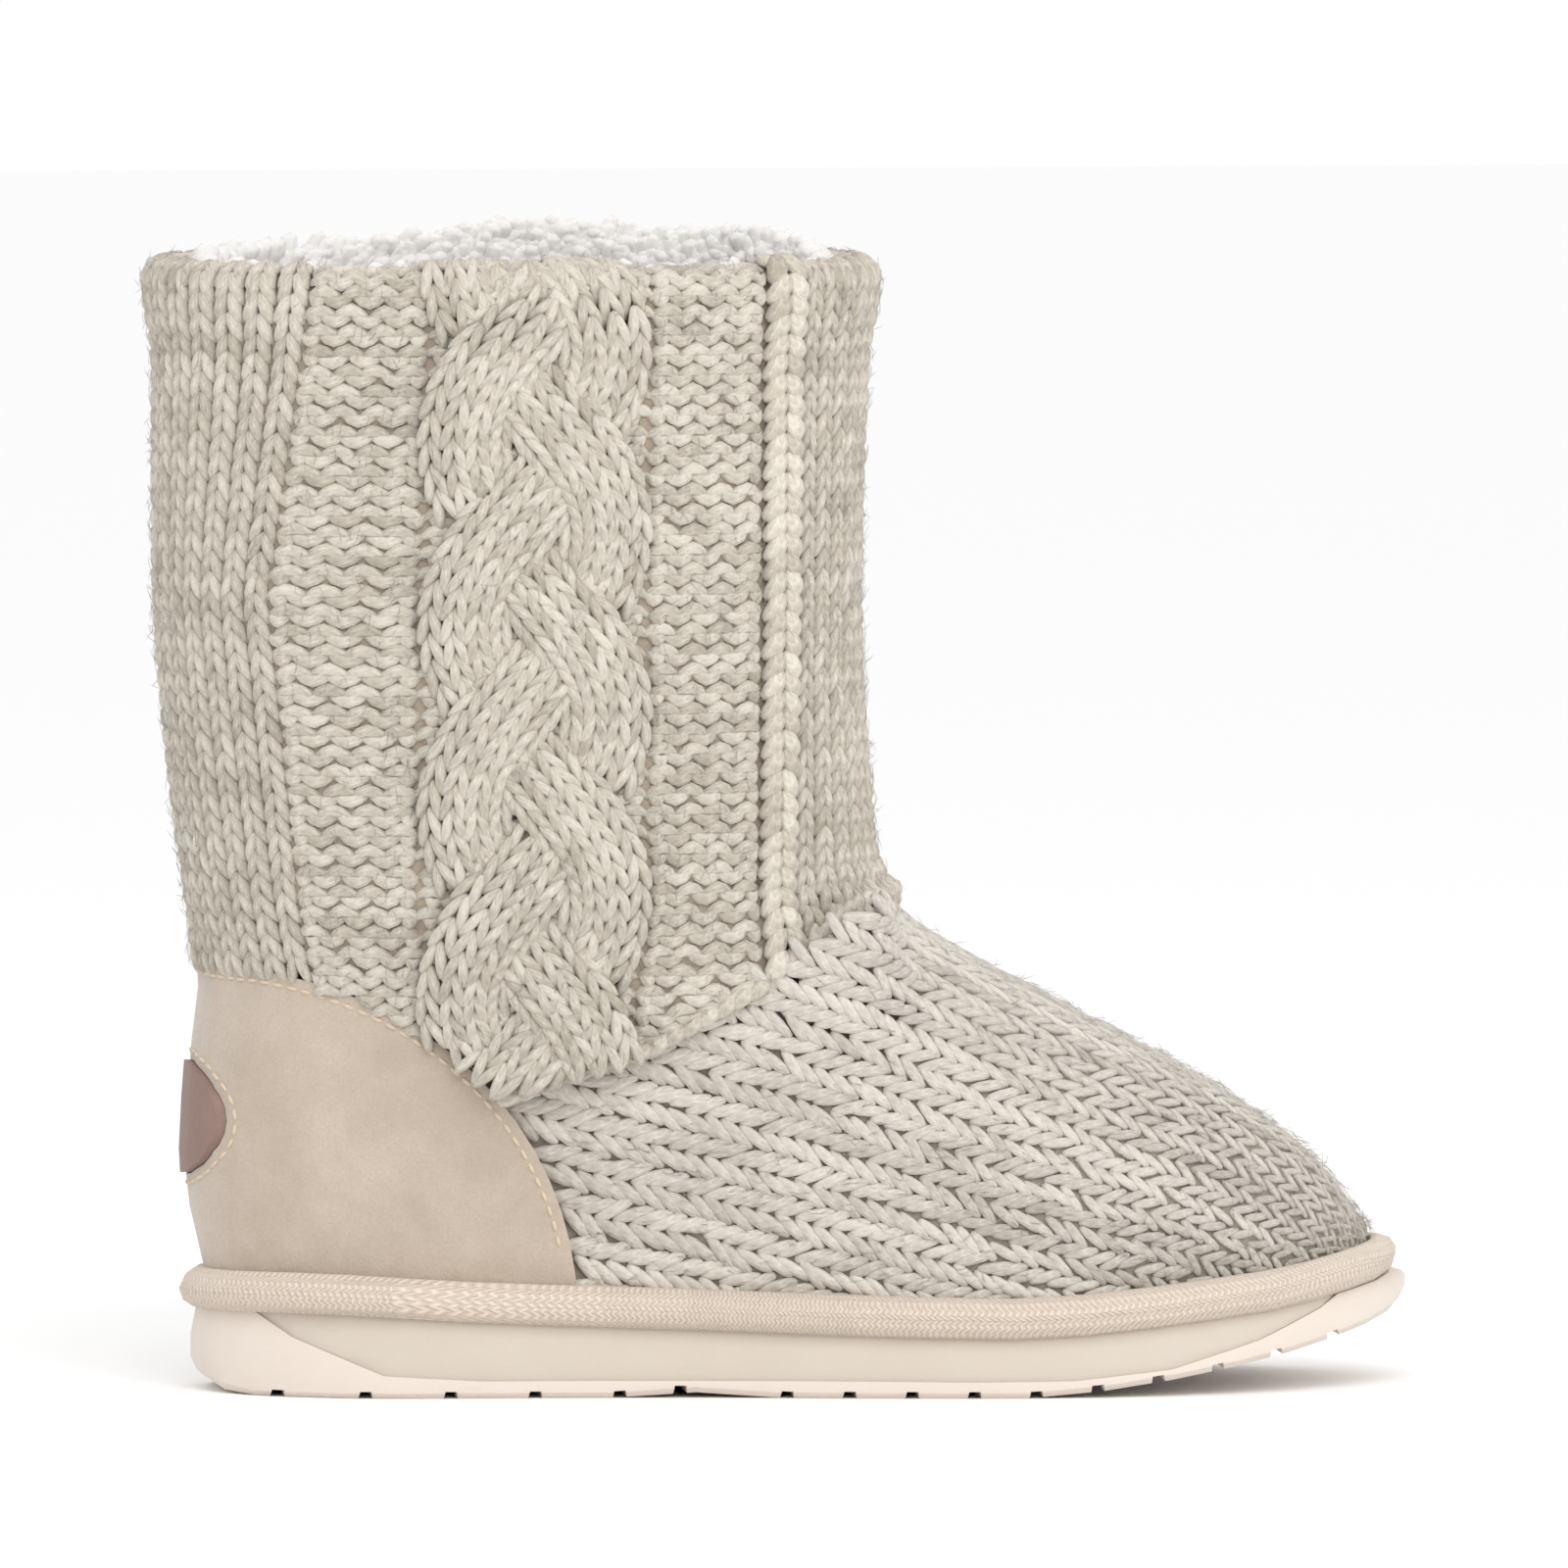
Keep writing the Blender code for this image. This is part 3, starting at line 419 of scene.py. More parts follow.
def sleeveGrid(side):
    heights, angles = sleeveHeights, sleeveAngles
    distances = wallDistances(side, heights, angles)
    swell = np.clip((heights - sleeve["swellFrom"]) / sleeve["swellSpan"], 0, 1)
    stand = sleeve["wall"] + sleeve["rollBulge"] * swell**2 * (3 - 2 * swell)
    flat = np.stack([-np.cos(angles), side * np.sin(angles)], axis=1)
    count = sleeve["panels"] * sleeve["columnsPerPanel"] + 1
    grid = []
    instepRow = int(np.searchsorted(heights, sleeve["instep"]))
    for row in range(len(heights)):
        source = max(row, instepRow)
        plan = flat * distances[source][:, None]
        length = np.concatenate([[0], np.cumsum(np.hypot(*np.diff(plan, axis=0).T))])
        share = length / length[-1]
        edges = [np.interp(heights[source], panelHeights, edge) - sleeve["axisX"] for edge in panelEdges]
        shares = [0.0] + [np.interp(edge, plan[:, 0], share) for edge in edges] + [1.0]
        wanted = np.interp(np.linspace(0, sleeve["panels"], count), range(sleeve["panels"] + 1), shares)
        turn = np.interp(wanted, share, angles)
        far = np.interp(turn, angles, distances[row])
        x = soleBack + sleeve["axisX"] - np.cos(turn) * far
        grid.append(np.stack([x, side * np.sin(turn) * far, np.full(count, heights[row])], axis=1))
    grid = np.array(grid)
    out = unit(np.cross(np.gradient(grid, axis=1), np.gradient(grid, axis=0)) * -side)
    grid = list(grid + out * stand[:, None, None])
    last = grid[-1]
    tangent = unit(np.gradient(last, axis=0))
    outward = side * np.stack([tangent[:, 1], -tangent[:, 0], np.zeros(count)], axis=1)
    fromMiddle = last - last.mean(axis=0) * [1, 0, 1]
    outward *= np.sign(np.sum(outward * fromMiddle, axis=1))[:, None]
    places = list(heights)
    radius = sleeve["rollRadius"]
    for turn in np.arange(sleeve["rollStep"] / 2, sleeve["rollTurn"], sleeve["rollStep"]):
        rise = np.array([0.0, 0.0, radius * math.sin(turn)])
        grid.append(last + outward * radius * (math.cos(turn) - 1) + rise)
        places.append(heights[-1] + radius * turn)
    grid = np.array(grid)
    up = unit(np.gradient(grid, axis=0))
    ahead = np.gradient(grid, axis=1)
    out = np.cross(ahead, up) * -side
    return {"place": np.array(places), "point": grid, "up": up, "ahead": ahead, "out": unit(out)}


sleeveGrids = {side: sleeveGrid(side) for side in (-1, 1)}
print("sleeve surface sampled")


# Point, up, ahead, out and the local width of one panel at heights v and columns w
def readGrid(grid, v, w):
    last = len(grid["place"]) - 1.001
    rows = np.clip(np.interp(v, grid["place"], np.arange(len(grid["place"]))), 0, last)
    columns = np.clip(np.asarray(w, float) * sleeve["columnsPerPanel"], 0, grid["point"].shape[1] - 1.001)
    i, j = rows.astype(int), columns.astype(int)
    a, b = (rows - i)[:, None], (columns - j)[:, None]

    def read(name):
        values = grid[name]
        return (
            values[i, j] * (1 - a) * (1 - b) + values[i + 1, j] * a * (1 - b)
            + values[i, j + 1] * (1 - a) * b + values[i + 1, j + 1] * a * b
        )

    ahead = read("ahead")
    width = np.linalg.norm(ahead, axis=1) * sleeve["columnsPerPanel"]
    return read("point"), unit(read("up")), unit(ahead), unit(read("out")), width


# Scaled axes of each stitch, from its direction and the fabric's outward direction
def legFrames(point, along, out, size):
    along = unit(along)
    across = unit(np.cross(out, along))
    length, width, height = (np.broadcast_to(value, len(point))[:, None] for value in size)
    return point, along * length, across * width, np.cross(along, across) * height


def keepPlaces(frames, tones, keep):
    return tuple(part[keep] for part in frames), tones[keep]


# How far the sleeve's stitches reach below the seam towards the instep, and over the counter's edge
frontReach = np.array([(0.115, 0.0), (0.130, 0.0015), (0.148, 0.0015), (0.156, -0.0025)])
counterLap = 0.0008


def onSleeve(point, margin):
    x = point[:, 0] - soleBack
    lowest = seamHeight(x) + margin - np.interp(x, frontReach[:, 0], frontReach[:, 1])
    return (point[:, 2] > lowest) & (counterShare(x, point[:, 2]) > 1 - counterLap / counterEdge["rise"])


# Heathered tone of a stitch: the yarn's shade drifts slowly along each course
heathering = {"courses": 140, "columns": 400, "perPlace": 9, "middle": 0.62, "drift": 0.16, "scatter": 0.08}
courseDrift = blur(rng.normal(0, 1, (heathering["courses"], heathering["columns"])), 5, 1)
courseDrift *= heathering["drift"] / courseDrift.std()


def toneOf(course, place):
    course = np.asarray(course).astype(int) % heathering["courses"]
    column = (np.asarray(place) * heathering["perPlace"]).astype(int) % heathering["columns"]
    scatter = rng.normal(0, heathering["scatter"], len(column))
    return heathering["middle"] + courseDrift[course, column] + scatter


# The sleeve's stitches: tilt and lean in degrees, widths and sideways places as shares of the wale
stitches = {
    "course": 0.0043, "bottom": 0.0545, "top": 0.2500, "length": 0.0080, "thick": 0.0028, "wide": 0.43,
    "apart": 0.235, "tilt": 19.0, "lean": 9.0, "sink": 0.0008, "jitter": 0.00018, "dip": 0.30,
    "clear": 0.0004,
}
waleLeg = legTemplate(7, 6, 0.72, stitches["dip"], 0.05)
purlLeg = legTemplate(7, 6, 0.72, 0.42, 0.60)
courses = np.arange(stitches["bottom"], stitches["top"], stitches["course"])

# Stockinette wales behind, in front, and the raised wale that edges the plait's panel
wales = {
    "back": 7, "front": 7, "edgeColumn": 4.5, "edgeLift": 0.0015, "edgeBigger": 1.12, "edgeOpened": 11.0,
}


# Both legs of every stitch in one wale, as an upside-down V
def waleStitches(side, w, share, lift=0.0, bigger=1.0, opened=0.0):
    grid = sleeveGrids[side]
    made, tones = [], []
    for hand in (-1, 1):
        v = courses + rng.normal(0, stitches["jitter"], len(courses))
        point, up, ahead, out, panel = readGrid(grid, v, np.full(len(v), w))
        width = panel * share
        tilt = math.radians(stitches["tilt"] + opened) + rng.normal(0, 0.05, len(v))
        lean = math.radians(stitches["lean"]) + rng.normal(0, 0.03, len(v))
        along = up * np.cos(tilt)[:, None] - ahead * hand * np.sin(tilt)[:, None]
        along = along + out * np.sin(lean)[:, None]
        offset = hand * stitches["apart"] * width + rng.normal(0, 0.0001, len(v))
        point = point + ahead * offset[:, None] + out * (lift - stitches["sink"])
        size = (stitches["length"], width * stitches["wide"] * bigger, stitches["thick"] * bigger)
        frames = legFrames(point, along, out, size)
        tone = toneOf(np.arange(len(v)), np.full(len(v), w * wales["back"] + hand))
        placed, tone = keepPlaces(frames, tone, onSleeve(point, stitches["clear"]))
        made.append(placed)
        tones.append(tone)
    return made, tones


def gather(groups):
    made, tones = [], []
    for placed, tone in groups:
        made += placed
        tones += tone
    return made, tones


backWales, frontWales = [], []
for side in (-1, 1):
    for i in range(wales["back"]):
        backWales.append(waleStitches(side, (i + 0.5) / wales["back"], 1 / wales["back"]))
for side in (-1, 1):
    for i in range(wales["front"]):
        frontWales.append(waleStitches(side, 5 + (i + 0.5) / wales["front"], 1 / wales["front"]))
for side in (-1, 1):
    raised = (wales["edgeLift"], wales["edgeBigger"], wales["edgeOpened"])
    frontWales.append(waleStitches(side, wales["edgeColumn"], 1.0, *raised))
stamp("shaftWalesBack", waleLeg, *gather(backWales), shaftYarn, "shaft_knit")
stamp("shaftWalesFront", waleLeg, *gather(frontWales), shaftYarn, "shaft_knit")

# Plait of three ropes, each four wales wide. It flattens over the roll at the top.
plait = {
    "centre": 0.070, "swing": 0.015, "period": 0.119, "start": 0.2165, "width": 0.0196, "rise": 0.0038,
    "bottom": 0.066, "top": 0.2500, "flatFrom": 0.2300, "flatTo": 0.2420, "flattest": 0.25,
    "wales": 4, "ropes": 3, "pitch": 0.0045, "legLength": 0.0094, "legThick": 0.0029, "legTilt": 15.0,
    "hidden": 0.0014, "clear": 0.0015, "overPurl": 0.62, "paintedLight": 0.06,
}


def ropeAt(number, v):
    turn = 2 * math.pi * ((plait["start"] - v) / plait["period"] + number / plait["ropes"])
    x = plait["centre"] + plait["swing"] * np.sin(turn)
    slope = -plait["swing"] * np.cos(turn) * 2 * math.pi / plait["period"]
    return x, slope, plait["rise"] * (0.25 + 0.45 * np.sin(2 * turn))


def ropeShare(number, x, v):
    middle, slope, _ = ropeAt(number, v)
    return np.abs(x - middle) * np.cos(np.arctan(slope)) / (plait["width"] / 2)


# Height of a rope's face over the sleeve at a point, and zero beside it
def ropeLift(number, x, v):
    rise = ropeAt(number, v)[2]
    share = ropeShare(number, x, v)
    flat = np.clip((plait["flatTo"] - v) / (plait["flatTo"] - plait["flatFrom"]), plait["flattest"], 1)
    height = rise + plait["rise"] * np.sqrt(np.clip(1 - share**2, 0, 1))
    return np.where(share < 1, height, 0.0) * flat


# Column w at which the grid has a given x, for heights on the straight of the shaft
def columnOf(grid, x, v):
    rows = np.clip(np.searchsorted(grid["place"], v), 0, len(sleeveHeights) - 1)
    columns = np.linspace(0, sleeve["panels"], grid["point"].shape[1])
    places = [np.interp(a + soleBack, grid["point"][row][:, 0], columns) for a, row in zip(x, rows)]
    return np.array(places)


def ropeStitches(side, number):
    grid = sleeveGrids[side]
    fine = np.arange(plait["bottom"], plait["top"], 0.0005)
    length = np.concatenate([[0], np.cumsum(np.hypot(np.diff(ropeAt(number, fine)[0]), np.diff(fine)))])
    middles = np.interp(np.arange(0, length[-1], plait["pitch"]), length, fine)
    made, tones = [], []
    lane = plait["width"] / plait["wales"]
    for wale in range(plait["wales"]):
        for hand in (-1, 1):
            across = (wale + 0.5) * lane - plait["width"] / 2 + hand * 0.25 * lane
            x, slope, _ = ropeAt(number, middles)
            turn = np.arctan(slope)
            x = x + across * np.cos(turn)
            v = middles - across * np.sin(turn)
            point, up, ahead, out, _ = readGrid(grid, v, columnOf(grid, x, v))
            lift = ropeLift(number, x, v)
            others = [ropeLift(n, x, v) for n in range(plait["ropes"]) if n != number]
            bank = 0.9 * across / (plait["width"] / 2)
            tilt = turn - hand * math.radians(plait["legTilt"])
            along = up * np.cos(tilt)[:, None] + ahead * np.sin(tilt)[:, None] + out * 0.06
            sideways = ahead * np.cos(turn)[:, None] - up * np.sin(turn)[:, None]
            face = unit(out + sideways * 0.6 * bank)
            stand = np.maximum(lift, plait["rise"] * plait["flattest"]) - stitches["sink"]
            point = point + out * stand[:, None]
            frames = legFrames(point, along, face, (plait["legLength"], lane * 0.53, plait["legThick"]))
            seen = onSleeve(point, plait["clear"]) & (v < plait["top"])
            seen &= np.maximum(*others) < lift + plait["hidden"]
            tone = toneOf(np.arange(len(v)) + 30 * number, np.full(len(v), 3 * wale + hand))
            # Painted light: the rope stitches are given a tone lighter than the same yarn on the rest of the
            # sleeve.
            placed, tone = keepPlaces(frames, tone + plait["paintedLight"], seen)
            made.append(placed)
            tones.append(tone)
    return made, tones


for side, name in ((-1, "plaitOuter"), (1, "plaitInner")):
    ropes = [ropeStitches(side, number) for number in range(plait["ropes"])]
    stamp(name, waleLeg, *gather(ropes), shaftYarn, "shaft_knit")

# Purl panels each side of the plait, and what shows of the purl beside its ropes: bricks of curved loops
purl = {
    "rowPitch": 0.00215, "sink": 0.0010, "long": 1.24, "wide": 0.0031, "thick": 0.0028, "drop": 0.00045,
    "columns": 4, "columnsUnderPlait": 7, "endLong": 0.55, "inset": 0.07, "turn": 0.07, "paintedLight": 0.07,
}


def purlStitches(side, firstEdge, count, underPlait=False):
    grid = sleeveGrids[side]
    rows = np.arange(stitches["bottom"], stitches["top"], purl["rowPitch"])
    made, tones = [], []
    for parity in (0, 1):
        v = rows[parity::2]
        for i in range(count + parity):
            share = (i + 0.5 - 0.5 * parity) / count
            end = parity == 1 and i in (0, count)
            share = min(max(share, purl["inset"]), 1 - purl["inset"])
            shift = rng.normal(0, 0.012, len(v))
            height = v - parity * purl["drop"] + rng.normal(0, 0.00012, len(v))
            point, up, ahead, out, panel = readGrid(grid, height, firstEdge + share + shift)
            long = panel / count * purl["long"] * (purl["endLong"] if end else 1.0)
            flip = side * (1 - 2 * parity)
            aim = ahead * flip + up * rng.normal(0, purl["turn"], (len(v), 1))
            frames = legFrames(point - out * purl["sink"], aim, out, (long, purl["wide"], purl["thick"]))
            keep = onSleeve(point, stitches["clear"])
            if underPlait:
                x = point[:, 0] - soleBack
                nearest = np.min([ropeShare(n, x, height) for n in range(plait["ropes"])], axis=0)
                keep &= nearest > plait["overPurl"]
            tone = toneOf(np.arange(len(v)) + 7 * parity, np.full(len(v), firstEdge * 5 + i))
            # Painted light: the purl stitches are given a tone lighter than the same yarn on the rest of the
            # sleeve.
            placed, tone = keepPlaces(frames, tone + purl["paintedLight"], keep)
            made.append(placed)
            tones.append(tone)
    return made, tones


purlPanels = [purlStitches(side, edge, purl["columns"]) for side in (-1, 1) for edge in (1, 3)]
purlPanels += [purlStitches(side, 2, purl["columnsUnderPlait"], True) for side in (-1, 1)]
stamp("shaftPurl", purlLeg, *gather(purlPanels), shaftYarn, "shaft_knit")

# The sleeve's lower edge: a bound row of stitches along the seam over the vamp
binding = {
    "pitch": 0.0042, "length": 0.0076, "thick": 0.0036, "startX": 0.062, "sink": 0.0006, "above": 0.0012,
    "slant": 0.35, "paintedShade": 0.05,
}
edgePlaces, edgeTones = [], []
for side in (-1, 1):
    grid = sleeveGrids[side]
    w = np.linspace(2.2, sleeve["panels"], 400)
    v = np.full(len(w), 0.09)
    for _ in range(12):
        v = 0.5 * v + 0.5 * (seamHeight(readGrid(grid, v, w)[0][:, 0] - soleBack) + binding["above"])
    point, up, ahead, out, _ = readGrid(grid, v, w)
    length = np.concatenate([[0], np.cumsum(np.linalg.norm(np.diff(point, axis=0), axis=1))])
    wanted = np.arange(0, length[-1], binding["pitch"])
    at = np.interp(wanted, length, w)
    point, up, ahead, out, _ = readGrid(grid, np.interp(at, w, v), at)
    along = unit(np.gradient(point, axis=0))
    x = point[:, 0] - soleBack
    keep = (x > binding["startX"]) & (counterShare(x, point[:, 2]) > 1.02)
    size = (binding["length"], binding["thick"], binding["thick"])
    frames = legFrames(point - out * binding["sink"], along + binding["slant"] * up, out, size)
    placed, tone = keepPlaces(frames, toneOf(np.arange(len(x)), x * 100), keep)
    edgePlaces.append(placed)
    # Painted shade: the bound edge is given a tone darker than the same yarn on the sleeve above it.
    edgeTones.append(tone - binding["paintedShade"])
stamp("sleeveBinding", waleLeg, edgePlaces, edgeTones, shaftYarn, "shaft_knit")

# Vamp knit: sections square to the foot's length, and wales that fan from the ridge down to the welt. Behind
# trueFrom the sleeve hides the ridge, and its line is carried on from the slope up to slopeTo, easing off.
vamp = {
    "first": 0.058, "last": 0.2565, "step": 0.002, "instep": 0.147, "ceiling": 0.125, "blindTurn": 62.0,
    "trueFrom": 0.172, "slopeTo": 0.200, "ease": 3.0, "under": 0.0045, "wales": 22, "wale": 0.0084,
    "pitch": 0.0040, "length": 0.0092, "width": 0.0029, "thick": 0.0025, "spread": 27.0, "apart": 0.25,
    "fan": 0.55, "widest": 1.2, "sink": 0.0004,
}
weltPoints = np.array([vert.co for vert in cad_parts["welt"].data.vertices])
weltBins = np.linspace(soleBack + 0.002, soleBack + 0.260, 44)
weltTops = [weltPoints[np.abs(weltPoints[:, 0] - x) < 0.008][:, 2].max() for x in weltBins]
vampStations = np.arange(vamp["first"], vamp["last"], vamp["step"])
vampAngles = np.linspace(0.0, math.pi / 2, 60)
vampTuck = np.array([(0.110, 0.004), (0.135, 0.0028)])  # how far its stitches reach under the sleeve
vampLeg = legTemplate(6, 6, 0.62, 0.12, 0.0)


def vampGrid(side):
    distances = []
    for x in vampStations:
        base = float(np.interp(soleBack + x, weltBins, weltTops)) - vamp["under"]
        centre = Vector((soleBack + x, 0.0, base))
        row = []
        for angle in vampAngles:
            ceiling = (vamp["ceiling"] - base) / max(math.sin(angle), 1e-3)
            out = Vector((0.0, side * math.cos(angle), math.sin(angle)))
            blind = x < vamp["instep"] and angle > math.radians(vamp["blindTurn"])
            reach = ceiling if blind else hitDistance(upperTree, centre, out, 0.22)
            row.append(min(reach, ceiling) if reach == reach else ceiling)
        distances.append(row)
    distances = blur(blur(np.array(distances), 2, 1), 2, 0, True)
    x = np.repeat(vampStations[:, None] + soleBack, len(vampAngles), axis=1)
    base = np.interp(x, weltBins, weltTops) - vamp["under"]
    y = side * np.cos(vampAngles) * distances
    return np.stack([x, y, base + np.sin(vampAngles) * distances], axis=2)


def vampStitches(side):
    grid = vampGrid(side)
    length = np.cumsum(np.linalg.norm(np.diff(grid, axis=1), axis=2), axis=1)
    length = np.concatenate([np.zeros((len(grid), 1)), length], axis=1)
    ridge = length[:, -1].copy()
    behind = vampStations < vamp["trueFrom"]
    t0, t1 = np.interp((vamp["trueFrom"], vamp["slopeTo"]), vampStations, ridge)
    slope = (t1 - t0) / (vamp["slopeTo"] - vamp["trueFrom"])
    back = vampStations[behind] - vamp["trueFrom"]
    ridge[behind] = t0 + back * slope * (1 + vamp["ease"] * back)
    ridge = blur(ridge, 3, 0, True)
    scale = np.clip(ridge / (t0 - 0.025 * slope), 0.02, vamp["widest"]) ** vamp["fan"]
    across = unit(np.gradient(grid, axis=1))
    made, tones = [], []
    for number in range(vamp["wales"]):
        wanted = ridge - (number + 0.5) * vamp["wale"] * scale
        rows = np.nonzero((wanted > 0.0) & (wanted < length[:, -1]))[0]
        if len(rows) < 4:
            continue
        lines = []
        for values in (grid, across):
            lines.append([[np.interp(wanted[r], length[r], values[r, :, k]) for k in range(3)] for r in rows])
        line, upward = np.array(lines[0]), np.array(lines[1])
        walked = np.concatenate([[0], np.cumsum(np.linalg.norm(np.diff(line, axis=0), axis=1))])
        zero = np.interp(0.150, vampStations[rows], walked)
        ticks = np.arange(zero % vamp["pitch"], walked[-1], vamp["pitch"])

        def at(values):
            return np.stack([np.interp(ticks, walked, values[:, k]) for k in range(3)], axis=1)

        point, along = at(line), unit(at(np.gradient(line, walked, axis=0)))
        up = unit(at(upward))
        out = unit(np.cross(along, up) * -side)
        if np.mean(out[:, 1] * side) < 0:
            out = -out
        up = unit(up - along * np.sum(up * along, axis=1)[:, None])
        size = np.interp(ticks, walked, scale[rows])
        for hand in (-1, 1):
            spread = hand * math.radians(vamp["spread"]) + rng.normal(0, 0.09, len(ticks))
            aim = along * np.cos(spread)[:, None] + up * np.sin(spread)[:, None]
            shift = hand * vamp["apart"] * vamp["wale"] * size + rng.normal(0, 0.00022, len(ticks))
            place = point + up * shift[:, None] + along * rng.normal(0, 0.0003, (len(ticks), 1))
            place = place - out * vamp["sink"]
            x = place[:, 0] - soleBack
            tuck = np.interp(x, vampTuck[:, 0], vampTuck[:, 1])
            keep = (place[:, 2] < seamHeight(x) + tuck) & (counterShare(x, place[:, 2]) > 1.01)
            keep &= place[:, 2] > np.interp(place[:, 0], weltBins, weltTops) - vamp["under"]
            long, thick = vamp["length"] * np.clip(size, 0.7, 1.2), vamp["thick"] * np.clip(size, 0.6, 1.1)
            frames = legFrames(place, aim, out, (long, vamp["width"] * size, thick))
            tone = toneOf(np.full(len(ticks), number + 40), ticks * 60 + hand)
            placed, tone = keepPlaces(frames, tone, keep)
            made.append(placed)
            tones.append(tone)
    return made, tones


stamp("vampWales", vampLeg, *gather([vampStitches(side) for side in (-1, 1)]), vampYarn, "vamp_knit")


# Backings: the solids drawn in a little, dark between the stitches, with pile on the inner faces where lined
def backing(name, node, depth, outer, slotName, lined):
    bm = solidCopy(node)
    tree = treeOf(bm)
    if lined:
        for face in bm.faces:
            start = face.calc_center_median() + face.normal * 0.0008
            face.material_index = 1 if tree.ray_cast(start, face.normal, 0.3)[0] is not None else 0
    shrink(bm, depth)
    mesh = bpy.data.meshes.new(name)
    bm.to_mesh(mesh)
    bm.free()
    finishPiece(addObject(name, mesh, [outer, woolPile]), slotName, node)


backing("vampBackingSkin", "upper", 0.0009, vampBacking, "vamp_knit", True)
backing("sleeveBackingSkin", "knit_shaft", 0.0015, shaftBacking, "shaft_knit", False)
print("backings made")

# Wool pile at the collar: curls that root inside the wall and lean up and inwards. It stands lower on the
# near side, and in humps given by their place along the boot, their reach and their height.
pile = {
    "rimCurls": 3400, "wallCurls": 1600, "length": 0.0110, "thick": 0.0060, "inset": 0.0076,
    "nearDrop": 0.0032,
    "humps": ((-0.047, 0.028, 0.0035), (-0.006, 0.010, 0.0025)),
}
curl = legTemplate(6, 5, 0.8, 0.25, 0.2)


def pileCurls(side, count, low, high, upward):
    heights, angles = sleeveHeights, sleeveAngles
    distances = wallDistances(side, heights[-8:], angles)[-1]
    turn = rng.uniform(0, math.pi, count)
    far = np.interp(turn, angles, distances) - pile["inset"]
    out = np.stack([-np.cos(turn), side * np.sin(turn) * 1.6, np.zeros(count)], axis=1)
    out = unit(out)
    x = soleBack + sleeve["axisX"] - np.cos(turn) * far
    swell = sum(height * np.exp(-(((x - place) / reach) ** 2)) for place, reach, height in pile["humps"])
    z = rng.uniform(low, high, count) + (swell if side > 0 else -pile["nearDrop"])
    point = np.stack([x, side * np.sin(turn) * far, z], axis=1)
    inward = -out * rng.uniform(0.0, 0.5, (count, 1))
    along = unit(inward + rng.normal(0, 0.22, (count, 3)) + [0, 0, upward])
    length = pile["length"] * rng.uniform(0.6, 1.1, count)
    thick = pile["thick"] * rng.uniform(0.7, 1.2, count)
    return legFrames(point, along, out + rng.normal(0, 0.4, (count, 3)), (length, thick, thick))


for name, count, low, high, upward in (
    ("woolPileRim", pile["rimCurls"] // 2, 0.229, 0.2436, 1.0),
    ("woolPileWall", pile["wallCurls"] // 2, 0.200, 0.230, 1.0),
):
    groups = [pileCurls(side, count, low, high, upward) for side in (-1, 1)]
    stamp(name, curl, groups, [np.full(count, 0.6)] * 2, looseWool, "wool_lining")

# Overlays and sole
dressCopy("suedeCounter", "heel_counter", [suede], "suede", 0.0006)
dressCopy("roseOval", "heel_patch", [patchLeather], "patch_leather", 0.0005)
dressCopy("footbedPile", "insole", [woolPile], "wool_lining")
tape = dressCopy("bindingTape", "welt", [wovenTape], "woven_tape", 0.0004, 60.0, 0.0005)
dressCopy("lugOutsole", "outsole", [outsoleRubber], "outsole_rubber", 0.0004)
dressCopy("foamMidsole", "midsole", [midsoleFoam], "midsole_foam", 0.0003, 35.0, 0.0005)

# The tape's own coordinates: metres along its plan outline, then metres round the fold
tapePoints = np.empty(len(tape.data.vertices) * 3)
tape.data.vertices.foreach_get("co", tapePoints)
tapePoints = tapePoints.reshape(-1, 3)
hull = tapePoints[convex_hull_2d([Vector(p[:2]) for p in tapePoints])][:, :2]
hullTurn = np.arctan2(hull[:, 1], hull[:, 0])
hull = hull[np.argsort(hullTurn)]
hull = np.vstack([hull, hull[:1]])
hullTurn = np.sort(hullTurn)
hullTurn = np.append(hullTurn, hullTurn[0] + 2 * math.pi)
walk = np.concatenate([[0], np.cumsum(np.hypot(*np.diff(hull, axis=0).T))])
pointTurn = np.arctan2(tapePoints[:, 1], tapePoints[:, 0])
pointTurn[pointTurn < hullTurn[0]] += 2 * math.pi
alongEdge = np.interp(pointTurn, hullTurn, walk)
corners = np.empty(len(tape.data.loops), int)
tape.data.loops.foreach_get("vertex_index", corners)
faceStarts = np.array([face.loop_start for face in tape.data.polygons])
cornerAlong = alongEdge[corners]
faceTop = np.maximum.reduceat(cornerAlong, faceStarts)
faceTop = np.repeat(faceTop, np.diff(np.append(faceStarts, len(corners))))
cornerAlong[faceTop - cornerAlong > walk[-1] / 2] += walk[-1]
roundFold = tapePoints[:, 2] - np.interp(tapePoints[:, 0], weltBins, weltTops)
tapeUv = np.stack([cornerAlong, roundFold[corners]], axis=1)
tape.data.uv_layers.new(name="tape").data.foreach_set("uv", tapeUv.ravel())

# Sewing: a line of stitches inside the counter's edge, and one round the oval
sewing = {
    "inside": 0.0024, "pitch": 0.0034, "length": 0.0027, "thick": 0.0010, "lowest": 0.030, "firstX": 0.012,
    "ovalWide": 0.0384, "ovalHigh": 0.0288, "ovalZ": 0.0590,
}
counterTop = counterEdge["baseZ"] + counterEdge["rise"] - sewing["inside"]
counterTree = treeOf(solidCopy("heel_counter"))


def sewnLine(points, outs):
    points, outs = np.array(points), np.array(outs)
    length = np.concatenate([[0], np.cumsum(np.linalg.norm(np.diff(points, axis=0), axis=1))])
    ticks = np.arange(sewing["pitch"], length[-1] - sewing["pitch"] / 2, sewing["pitch"])

    def at(values):
        return np.stack([np.interp(ticks, length, values[:, k]) for k in range(3)], axis=1)

    along = unit(at(np.gradient(points, axis=0)))
    size = (sewing["length"], sewing["thick"], sewing["thick"])
    return legFrames(at(points), along, unit(at(outs)), size), np.full(len(ticks), 0.6)


